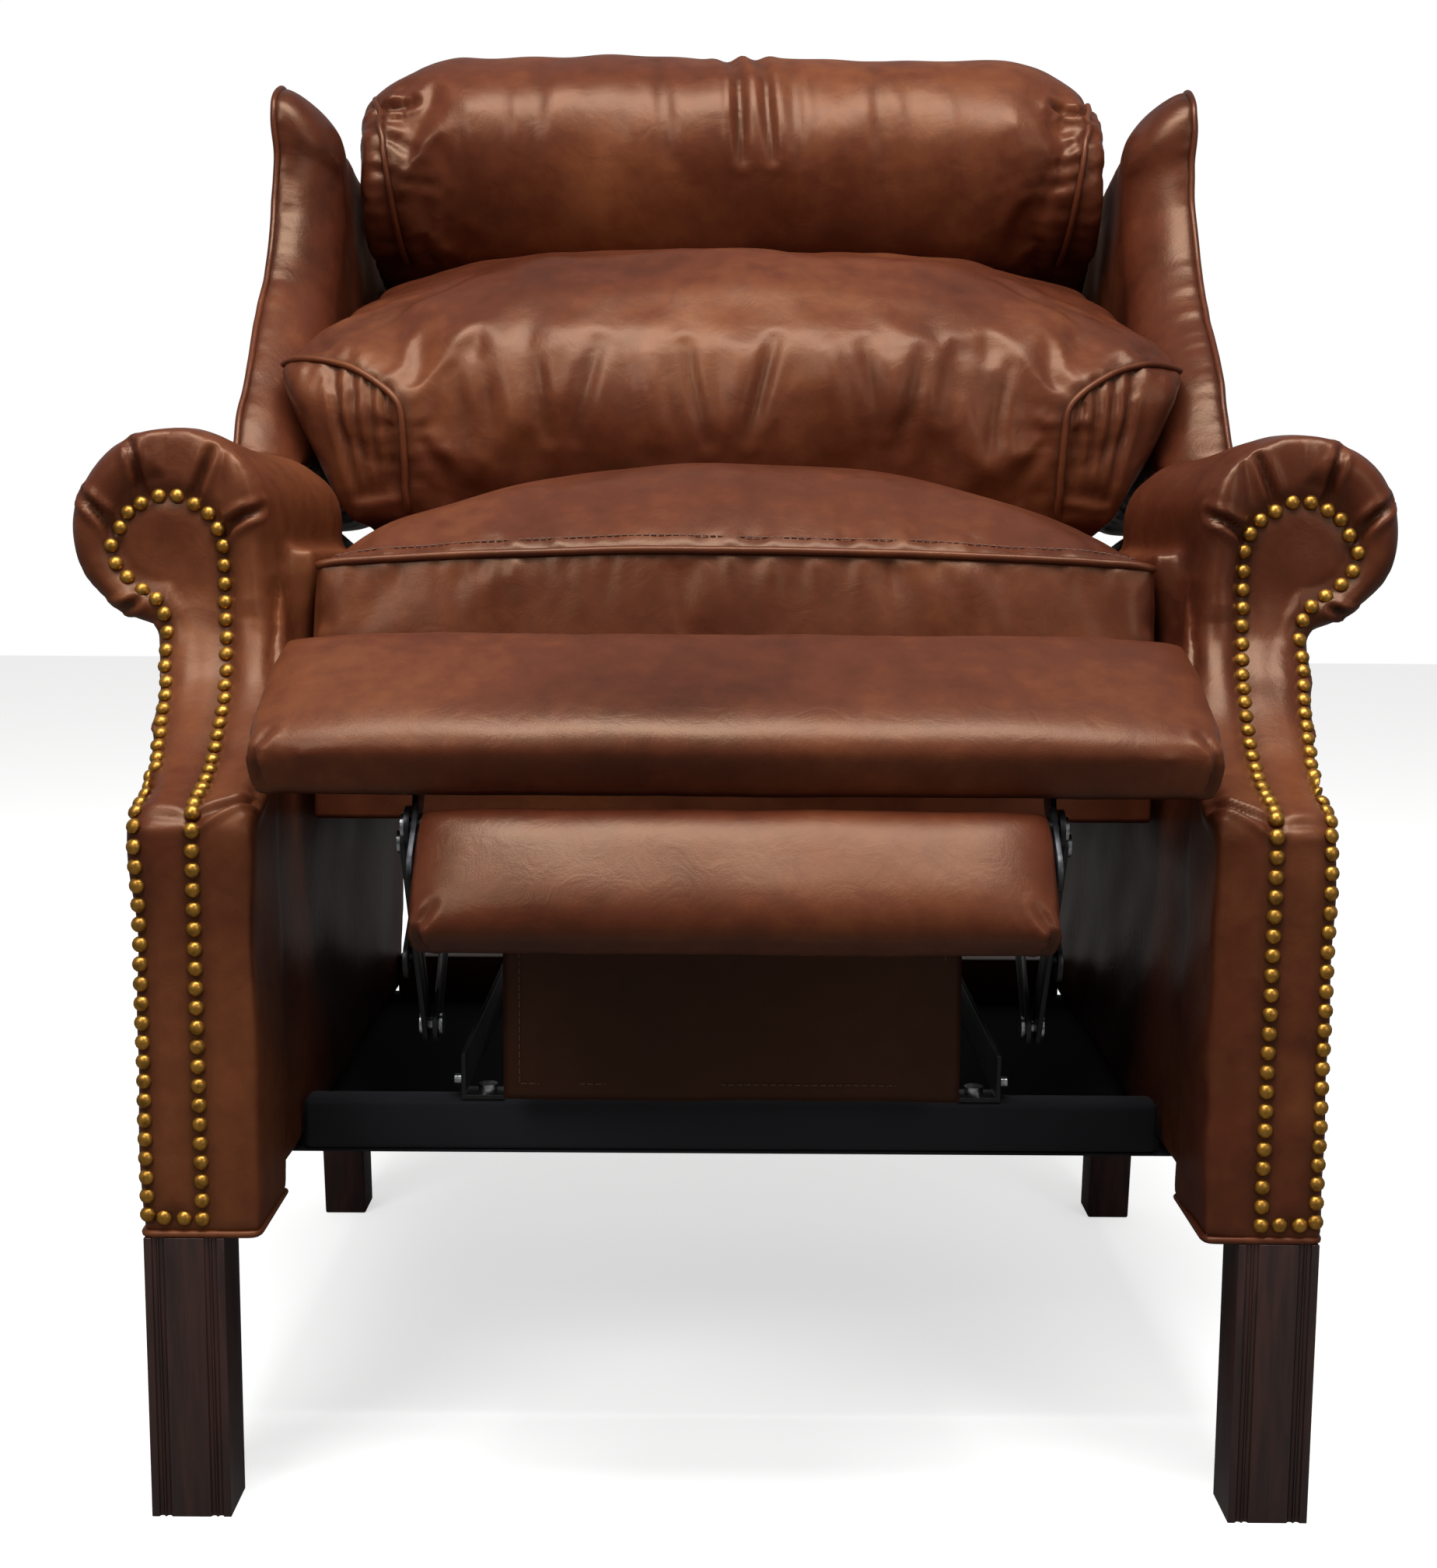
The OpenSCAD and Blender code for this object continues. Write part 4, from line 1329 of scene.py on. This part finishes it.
@dataclass
class Arm:
    """One arm's leather: a cover over roll, lining, scroll face and post, tacked down by a row of nails.

    Attributes:
        side: which arm.
        scroll: centre of the scroll face (X, Z).
        scroll_r: its radius.
        loop: centre of the nails' loop.
        loop_r: radius of the nails' loop.
        rim: width of the scroll's padded rim, from its edge in to the nails.
        puff: how far the rim's padding stands in front of the face.
        turned: how far the rim's edge is turned back.
        swell: how far the rim's padding stands out round its edge.
        haunch: how far the roll is filled out towards the seat, in front of the wing.
        post_top: height of the knee where the post meets the sweep.
        nail_r: radius of a nail head.
        nail_pitch: spacing of the nails.
        pleats: places of the pleats round the scroll, in degrees.
    """

    side: Side
    scroll: Point = (349.0, 566.0)
    scroll_r: float = 58.0
    loop: Point = (349.0, 553.0)
    loop_r: float = 34.0
    rim: float = 25.0
    puff: float = 6.0
    turned: float = 14.0
    swell: float = 5.0
    haunch: float = 28.0
    post_top: float = 410.0
    nail_r: float = 4.7
    nail_pitch: float = 11.0
    pleats: tuple[float, ...] = (-58.0, 20.0, 66.0, 117.0, 163.0)

    def line(self) -> list[Point]:
        """The nails' line (X, Z): up the inner side, round the scroll and down the outer side."""
        low, inner, outer = 179.0, 301.0, 332.7
        tail = [(379, 541), (366, 532), (355, 524), (350, 511), (349, 490), (outer, 404), (outer, low)]
        rising = [(inner, low), (inner, 404), (315, 520)]
        return rising + arc(self.loop, self.loop_r, 180, 0, 12) + tail + [(inner + 11, low)]

    def pad_rim(self, local: np.ndarray) -> np.ndarray:
        """Rolls the scroll's padded rim over from its edge in to the nails.

        Args:
            local: points in the chair's millimetres, as on the right-hand side.

        Returns:
            The moved points.
        """
        out = local.copy()
        x, y, z = local.T
        face = np.interp(z, [410, 445, 480, 505, 530], [0, 70, 128, 146, 153])
        behind = np.clip(1 - (y - face) / 26, 0, 1)
        inset = self.scroll_r - np.hypot(x - self.scroll[0], z - self.scroll[1])
        inner_edge = x - np.interp(z, [410, 480, 566], [272, 283, 292])
        neck_edge = np.interp(z, [404, 490, 520, 536], [338, 354, 364, 374]) - x
        inset = np.maximum(inset, np.minimum(inner_edge, neck_edge))
        beside = np.clip((self.scroll[1] - z) / 20, 0, 1) * np.clip((self.scroll[0] - 10 - x) / 16, 0, 1)
        inset = np.clip(inset + beside * (np.minimum(inner_edge, self.rim) - inset), 0, self.rim)
        across = 2 * inset / self.rim - 1
        outer = self.turned - (self.turned + self.puff) * np.sqrt(np.clip(1 - across ** 2, 0, 1))
        inner = -self.puff * (1 - across ** 2)
        weight = np.clip((z - 496) / 30, 0, 1) * behind
        weight = np.maximum(weight, behind * beside * np.clip((z - 425) / 60, 0, 1) * 0.6)
        out[:, 1] += weight * np.where(across < 0, outer, inner)
        out[:, [0, 2]] += self.haunch_push(local)
        away = out[:, [0, 2]] - np.array(self.scroll)
        far = np.linalg.norm(away, axis=1)
        swell = self.swell * np.clip((far - 34) / 18, 0, 1) * np.clip((local[:, 2] - 500) / 40, 0, 1)
        swell *= np.clip(1 - (local[:, 1] - face - 30) / 90, 0, 1)
        out[:, [0, 2]] += away / np.maximum(far, 1.0)[:, None] * swell[:, None]
        return out

    def haunch_push(self, local: np.ndarray) -> np.ndarray:
        """Fills the roll out towards the seat between the scroll and the wing.

        Args:
            local: points in the chair's millimetres, as on the right-hand side.

        Returns:
            The moves in X and Z.
        """
        x, y, z = local.T
        along = np.clip((y - 165) / 120, 0, 1) ** 1.3 * np.clip((336 - y) / 22, 0, 1) ** 0.5
        axis_x, axis_z = 349 - 0.0493 * (y - 165), 566 - 0.1355 * (y - 165)
        angle = np.degrees(np.arctan2(z - axis_z, x - axis_x))
        turn = np.exp(-((np.mod(angle, 360) - 148) / 42) ** 2)
        far = np.hypot(x - axis_x, z - axis_z)
        amount = self.haunch * along * turn * np.clip((far - 25) / 20, 0, 1)
        way = np.stack([x - axis_x, z - axis_z], axis=1) / np.maximum(far, 1.0)[:, None]
        return way * amount[:, None]

    def creases(self) -> list[Crease]:
        """The scroll's radial pleats and the fold across the knee."""
        cx, cz = self.loop
        sx, sz = self.scroll
        folds = []
        for turn in self.pleats:
            a = math.radians(turn)
            start = (cx + 36 * math.cos(a), 151, cz + 36 * math.sin(a))
            end = (sx + 55 * math.cos(a + 0.05), 156, sz + 55 * math.sin(a + 0.05))
            folds.append(Crease(start, end, 5.0, 2.6, 0.5))
        knee = [Crease((266, 20, self.post_top + 12), (300, 3, self.post_top - 1), 3.4, 2.8, 0.8),
                Crease((300, 3, self.post_top), (334, 4, self.post_top + 1), 1.8, 4.0, 0.4),
                Crease((266, 60, self.post_top + 30), (266, 12, self.post_top + 10), 2.4, 4.0, 0.6)]
        return folds + knee

    def build(self) -> None:
        """Makes the cover, its nails and the outside panel."""
        place = PLACES.chair() @ self.side.turn()
        word = self.side.word
        nodes = tuple(f"{part}_{word}" for part in ("arm_front", "arm_roll", "arm_inside"))
        skin = Skin(f"arm_cover_{word}", "base", place, nodes, voxel=4.2, soften=7, rumple=0.9,
                    creases=self.creases(), seed=51 + self.side.value, refine=False)
        mesh = skin.form(from_node(*nodes), in_metres=True)
        mesh = self.finer(mesh, place)
        local = through(place.inverted(), points_of(mesh))
        set_points(mesh, through(place, self.pad_rim(local)))
        surface = BVHTree.FromBMesh(self.copy_of(mesh))
        path = self.on_face(surface, place, even([(x, 0.0, z) for x, z in self.line()], 2.0))
        mesh = skin.crease(mesh)
        self.draw_down(mesh, path)
        skin.dress(mesh)
        self.nails(mesh, path)
        self.outside(place)
        self.bottom_welt(place)

    def copy_of(self, mesh: bpy.types.Mesh) -> bmesh.types.BMesh:
        """A bmesh of the mesh."""
        bm = bmesh.new()
        bm.from_mesh(mesh)
        return bm

    def finer(self, mesh: bpy.types.Mesh, place: Matrix) -> bpy.types.Mesh:
        """Subdivides the scroll face and the knee, where the pleats are.

        Args:
            mesh: the cover in metres.
            place: matrix from the chair's millimetres to metres.

        Returns:
            The same mesh.
        """
        bm = self.copy_of(mesh)
        inverse = place.inverted()
        near = []
        for e in bm.edges:
            _, y, z = inverse @ ((e.verts[0].co + e.verts[1].co) / 2)
            if (z > 470 and y < 192) or (395 < z < 450 and y < 90):
                near.append(e)
        bmesh.ops.subdivide_edges(bm, edges=near, cuts=1, use_grid_fill=True, smooth=0.0)
        bmesh.ops.triangulate(bm, faces=[f for f in bm.faces if len(f.verts) > 4])
        bm.to_mesh(mesh)
        bm.free()
        return mesh

    def on_face(self, surface: BVHTree, place: Matrix, path: np.ndarray) -> np.ndarray:
        """Casts the nails' line straight back onto the cover's face.

        Args:
            surface: the cover in metres.
            place: matrix from the chair's millimetres to metres.
            path: the line in the chair's millimetres.

        Returns:
            The line on the face, in metres.
        """
        back = (place.to_3x3() @ Vector((0, 1, 0))).normalized()
        hits = []
        for x, _, z in path:
            found = surface.ray_cast(place @ Vector((x, -120, z)), back)[0]
            if found is not None:
                hits.append(found)
        return np.array(hits)

    def draw_down(self, mesh: bpy.types.Mesh, path: np.ndarray) -> None:
        """Sinks the leather along the nails, and paints shade into the dent.

        Args:
            mesh: the cover in metres.
            path: the nails' line in metres.
        """
        world, normal = points_of(mesh), normals_of(mesh)
        gap, _ = nearest(world, path)
        dent = np.exp(-(gap / 0.0065) ** 2)
        set_points(mesh, world - normal * dent[:, None] * 2.8 * MM)
        # Painted shade in the dent along the nails, added to the seam attribute.
        layer = mesh.attributes["seam"]
        dark = np.zeros(len(world), np.float32)
        layer.data.foreach_get("value", dark)
        layer.data.foreach_set("value", np.maximum(dark, dent.astype(np.float32) * 0.8))

    def nails(self, mesh: bpy.types.Mesh, path: np.ndarray) -> None:
        """Sets domed nail heads along the line, each square to the leather under it.

        Args:
            mesh: the cover in metres.
            path: the nails' line in metres.
        """
        surface = BVHTree.FromBMesh(self.copy_of(mesh))
        bm = bmesh.new()
        seats = [surface.find_nearest(Vector(point))[:2] for point in even(path, self.nail_pitch * MM)]
        facing = eased(np.array([normal for _, normal in seats]), 3)
        for (found, _), out in zip(seats, facing):
            normal = Vector(out).normalized()
            turn = normal.to_track_quat("Z", "Y").to_matrix().to_4x4()
            stand = Matrix.Translation(found + normal * 0.3 * MM) @ turn
            made = bmesh.ops.create_uvsphere(bm, u_segments=14, v_segments=10, radius=self.nail_r * MM)
            dome = made["verts"]
            for v in dome:
                v.co.z = v.co.z * 0.82 if v.co.z > 0 else v.co.z * 0.25
            bmesh.ops.transform(bm, matrix=stand, verts=dome)
        name = "nails_" + self.side.word
        piece = shown(as_mesh(bm, name), name, "base", BRASS)
        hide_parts("nailheads")

    def outside(self, place: Matrix) -> None:
        """The flat panel that closes the arm's outer side, with piping on three of its edges.

        Args:
            place: matrix from the chair's millimetres to metres.
        """
        node = "arm_outside_" + self.side.word
        skin = Skin(node + "_leather", "base", place, (node,), voxel=4.0, soften=2, rumple=1.0,
                    seed=71 + self.side.value, refine=False)
        mesh = skin.crease(skin.form(from_node(node), in_metres=True))
        skin.dress(mesh)
        edge = [(336.5, 80, 440), (336.5, 80, 180), (336.5, 561, 180), (336.5, 632, 470)]
        tube(node + "_piping", [through(place, eased(even(edge, 4.0), 2))], 2.3, "base", LEATHER)

    def bottom_welt(self, place: Matrix) -> None:
        """The small rolled edge round the bottom of the post."""
        ring = [(270, 77, 170), (270, 2, 170), (335.5, 2, 170), (335.5, 77, 170)]
        tube("post_edge_" + self.side.word, [through(place, eased(even(ring, 3.0), 3))], 2.2, "base", LEATHER)


# ---- flat goods, frame and mechanism --------------------------------------


@dataclass
class Apron:
    """The leather curtain under the seat, hemmed with a row of stitches.

    Attributes:
        node: the CAD sheet that it stands for.
        hem: distance of the stitches from its edge.
        wave: depth of the slow waves at its lower edge.
    """

    node: str = "apron"
    hem: float = 10.0
    wave: float = 1.4

    def build(self) -> None:
        """Makes the curtain and its stitches."""
        low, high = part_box(self.node)
        width, drop = (high.x - low.x) / MM, (high.z - low.z) / MM
        place = Matrix.Translation((0, (low.y + high.y) / 2, low.z)) @ Matrix.Scale(MM, 4)
        bm = bmesh.new()
        bmesh.ops.create_grid(bm, x_segments=56, y_segments=30, size=0.5)
        for v in bm.verts:
            x, z = v.co.x * width, (v.co.y + 0.5) * drop
            fade = 1 - z / drop
            y = self.wave * fade * (math.sin(x / 31.0) + 0.6 * math.sin(x / 13.0 + 1.0)) - 1.5 * fade
            v.co = (x, y, z)
        bmesh.ops.transform(bm, matrix=place, verts=bm.verts)
        bmesh.ops.recalc_face_normals(bm, faces=bm.faces)
        mesh = as_mesh(bm, "curtain")
        rows = [[(-width / 2 + self.hem, 0, drop), (-width / 2 + self.hem, 0, self.hem)],
                [(-width / 2 + self.hem, 0, self.hem), (width / 2 - self.hem, 0, self.hem)],
                [(width / 2 - self.hem, 0, self.hem), (width / 2 - self.hem, 0, drop)]]
        paths = [through(place, even(r, 4.0)) for r in rows]
        front = [p + np.array([0, -1.5 * MM, 0]) for p in paths]
        thick = applied(mesh, "SOLIDIFY", thickness=1.6 * MM, offset=0.0)
        stitches("apron_stitches", thick, front, "seat", 5.0)
        # The curtain wears the darker leather that paints its shade.
        piece = shown(thick, "apron_leather", "seat", CURTAIN_LEATHER_PAINTED_SHADE)
        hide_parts(self.node)


@dataclass
class FlatCloth:
    """A sheet of cloth stretched flat over timbers and stapled.

    Attributes:
        node: the CAD sheet that it stands for.
        body: the body that it rides on.
        finish: its cloth.
        rests_on: the nodes that hold it; not used.
        place: matrix from millimetres, with Z across the sheet, to metres.
        sag: how far its middle hangs down.
    """

    node: str
    body: str
    finish: Finish
    rests_on: tuple[str, ...]
    place: Matrix
    sag: float = 1.0

    def build(self) -> None:
        """Makes the sheet, with a slight sag between its staples."""
        inverse = self.place.inverted()
        corners = [inverse @ v.co for v in frame["nodes"][self.node].data.vertices]
        xs, ys, zs = [[c[i] for c in corners] for i in range(3)]
        width, length = max(xs) - min(xs), max(ys) - min(ys)
        bm = bmesh.new()
        bmesh.ops.create_grid(bm, x_segments=40, y_segments=40, size=0.5)
        for v in bm.verts:
            u, w = v.co.x, v.co.y
            dip = self.sag * (1 - 4 * u * u) * (1 - 4 * w * w)
            v.co = (u * width + (max(xs) + min(xs)) / 2, w * length + (max(ys) + min(ys)) / 2,
                    (max(zs) + min(zs)) / 2 - dip)
        bmesh.ops.transform(bm, matrix=self.place, verts=bm.verts)
        mesh = applied(as_mesh(bm, self.node), "SOLIDIFY", thickness=1.2 * MM, offset=0.0)
        piece = shown(mesh, self.node + "_cloth", self.body, self.finish)
        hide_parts(self.node)


@dataclass
class BackPanels:
    """The padded lining in front of the back's timbers and the leather panel behind them."""

    def build(self) -> None:
        """Makes both, with piping round the rear panel."""
        place = PLACES.back()
        lining = Skin("inside_back_leather", "back", place, ("inside_back",), voxel=8.0, soften=3,
                      rumple=1.0, seed=81)
        lining.dress(lining.crease(lining.form(from_node("inside_back"), in_metres=True)))
        panel = Skin("outside_back_leather", "back", place, ("outside_back",), voxel=3.6, soften=1,
                     rumple=0.7, seed=83, refine=False)
        mesh = panel.crease(panel.form(from_node("outside_back"), in_metres=True))
        panel.dress(mesh)
        edge = [(260, 45, 12), (260, 45, 198), (347, 45, 202), (347, 45, 391), (297, 45, 404), (297, 45, 538)]
        ring = edge + [(-x, y, z) for x, y, z in reversed(edge)]
        tube("outside_back_piping", [through(place, eased(even(ring, 5.0), 3))], 2.5, "back", LEATHER)


@dataclass
class Frame:
    """Timbers, legs, springs and the steel mechanism, with eased edges.

    Attributes:
        timbers: the bare timbers, with their bodies.
        wrapped: the timbers that show, which are wrapped in leather, with their bodies.
        plates: the black steel plates and links, with their bodies.
        pins: the plated pins and bolts.
        springs: the zigzag springs.
    """

    timbers: tuple[tuple[str, str], ...] = (
        ("side_rail_left", "base"), ("side_rail_right", "base"), ("seat_rear_rail", "seat"),
        ("seat_side_rail_left", "seat"), ("seat_side_rail_right", "seat"))
    wrapped: tuple[tuple[str, str], ...] = (
        ("rear_rail", "base"), ("arm_panel_left", "base"), ("arm_panel_right", "base"),
        ("seat_front_rail", "seat"),
        ("back_stile_left", "back"), ("back_stile_right", "back"), ("back_top_rail", "back"),
        ("back_bottom_rail", "back"))
    plates: tuple[tuple[str, str], ...] = (
        ("base_plate_left", "base"), ("base_plate_right", "base"), ("seat_plate_left", "seat"),
        ("seat_plate_right", "seat"), ("back_hinge_plates", "back"), ("lower_links", "lower_links"),
        ("upper_links", "upper_links"), ("guide_links", "guide_links"), ("footrest_brackets", "footrest"))
    pins: tuple[str, ...] = ("tilt_pins", "base_bolts", "link_pins", "back_pins", "knee_pins", "bracket_pins",
                             "flipper_pins")
    springs: tuple[str, ...] = ("seat_springs", "back_springs")

    def build(self) -> None:
        """Dresses every rigid node."""
        for word in ("left", "right"):
            crisp("front_leg_turned_" + word, ["front_leg_" + word], "base", LEG_WOOD, 0.8)
            crisp("rear_leg_shaped_" + word, ["rear_leg_" + word], "base", LEG_WOOD, 1.6, 3)
        for node, body in self.timbers:
            crisp(node + "_timber", [node], body, FRAME_WOOD, 1.5)
        for node, body in self.wrapped:
            crisp(node + "_wrapped", [node], body, LEATHER, 3.0, 3)
        for node, body in self.plates:
            crisp(node + "_steel", [node], body, BLACK_STEEL, 0.5)
        crisp("flipper_brackets_steel", ["flipper_brackets"], "flipper", GREY_STEEL, 0.5)
        crisp("front_rail_wrapped", ["front_rail"], "base", CAMBRIC, 4.0, 4)
        crisp("footrest_board_covered", ["footrest_board"], "footrest", CAMBRIC, 1.5)
        for node in self.pins:
            self.paint(node, BRIGHT_STEEL)
        for node in self.springs:
            self.paint(node, SPRING_STEEL)

    def paint(self, node: str, finish: Finish) -> None:
        """Gives its finish to a CAD node that is kept as it is.

        Args:
            node: the node's name.
            finish: what it is made of.
        """
        kept = frame["nodes"][node]
        kept.data.materials.clear()
        kept.data.materials.append(finish.material())


# ---- studio ---------------------------------------------------------------


@dataclass
class Studio:
    """A pale floor, soft overhead light and a low camera a little over a metre in front of the arms.

    Attributes:
        eye: the camera's place in metres.
        pitch: how far it looks down, in degrees.
        roll: its small roll in degrees.
        lens: focal length in millimetres.
        ambient: strength of the light that the white backdrop gives the room.
    """

    eye: tuple[float, float, float] = (-0.009, -1.510, 0.590)
    pitch: float = 7.88
    roll: float = 0.35
    lens: float = 48.2
    ambient: float = 0.24

    def lamp(self, name: str, place: tuple[float, float, float], aim: tuple[float, float, float],
             size: tuple[float, float], power: float) -> None:
        """An area light.

        Args:
            name: its name.
            place: its centre in metres.
            aim: the point that it faces.
            size: its width and height in metres.
            power: its power in watts.
        """
        data = bpy.data.lights.new(name, "AREA")
        data.shape = "RECTANGLE"
        data.size, data.size_y = size
        data.energy = power
        light = bpy.data.objects.new(name, data)
        light.location = place
        light.rotation_euler = (Vector(aim) - Vector(place)).to_track_quat("-Z", "Y").to_euler()
        bpy.context.scene.collection.objects.link(light)

    def build(self) -> None:
        """Makes the floor, world, lights and camera."""
        bm = bmesh.new()
        bmesh.ops.create_grid(bm, x_segments=4, y_segments=4, size=6.0)
        mesh = as_mesh(bm, "floor")
        paper = bpy.data.materials.new("studio_paper")
        paper.use_nodes = True
        surface = paper.node_tree.nodes["Principled BSDF"]
        surface.inputs["Roughness"].default_value = 0.9
        seen = add_node(paper.node_tree, "ShaderNodeLightPath", {}).outputs["Is Camera Ray"]
        tone = ramp(paper.node_tree, seen, [(0.0, "#6e6c6a"), (1.0, "#f6f6f5")])
        paper.node_tree.links.new(tone.outputs["Color"], surface.inputs["Base Color"])
        surface.inputs["Emission Color"].default_value = linear("#ffffff")
        glow = add_node(paper.node_tree, "ShaderNodeMath", {0: seen, 1: 0.6}, operation="MULTIPLY")
        paper.node_tree.links.new(glow.outputs[0], surface.inputs["Emission Strength"])
        mesh.materials.append(paper)
        floor = bpy.data.objects.new("floor", mesh)
        bpy.context.scene.collection.objects.link(floor)
        world = bpy.data.worlds.new("studio_world")
        world.use_nodes = True
        tree = world.node_tree
        backdrop = tree.nodes["Background"]
        backdrop.inputs["Color"].default_value = linear("#ffffff")
        ray = add_node(tree, "ShaderNodeLightPath", {})
        strength = add_node(tree, "ShaderNodeMapRange", {"Value": ray.outputs["Is Camera Ray"],
                                                         "To Min": self.ambient, "To Max": 1.0})
        tree.links.new(strength.outputs[0], backdrop.inputs["Strength"])
        bpy.context.scene.world = world
        bpy.context.scene.view_settings.view_transform = "Standard"
        self.lamp("overhead", (0.0, -0.75, 2.3), (0.0, 0.1, 0.5), (1.6, 0.8), 56)
        self.lamp("key", (-1.1, -1.9, 2.1), (0.0, 0.0, 0.5), (1.0, 1.0), 18)
        self.lamp("fill", (1.5, -2.0, 1.5), (0.0, 0.0, 0.6), (0.9, 1.3), 7)
        data = bpy.data.cameras.new("camera")
        data.lens = self.lens
        data.sensor_width = 36.0
        camera = bpy.data.objects.new("camera", data)
        look = (Matrix.Rotation(math.radians(90 - self.pitch), 4, "X")
                @ Matrix.Rotation(math.radians(self.roll), 4, "Z"))
        camera.matrix_world = Matrix.Translation(self.eye) @ look
        bpy.context.scene.collection.objects.link(camera)
        bpy.context.scene.camera = camera


def main() -> None:
    """Builds the chair from its soft goods down to its mechanism, then the studio."""
    logging.basicConfig(level=logging.INFO, format="%(message)s")
    SeatCushion().build()
    LumbarPillow().build()
    HeadPillow().build()
    FootrestPad("footrest_pad", "footrest", PLACES.wide_pitch, 267.5, 130.0).build()
    FootrestPad("flipper_pad", "flipper", PLACES.narrow_pitch, 175.0, 83.0, low=-16.0, crown=12.0,
                shift=1.5).build()
    for side in Side:
        Wing(side).build()
        Arm(side).build()
    BackPanels().build()
    Apron().build()
    FlatCloth("dust_cover", "base", CAMBRIC, ("front_rail", "rear_rail"), PLACES.chair()).build()
    FlatCloth("seat_deck", "seat", DECK_CLOTH, ("seat_springs",), PLACES.seat()).build()
    Frame().build()
    Studio().build()


if __name__ == "__main__":
    main()
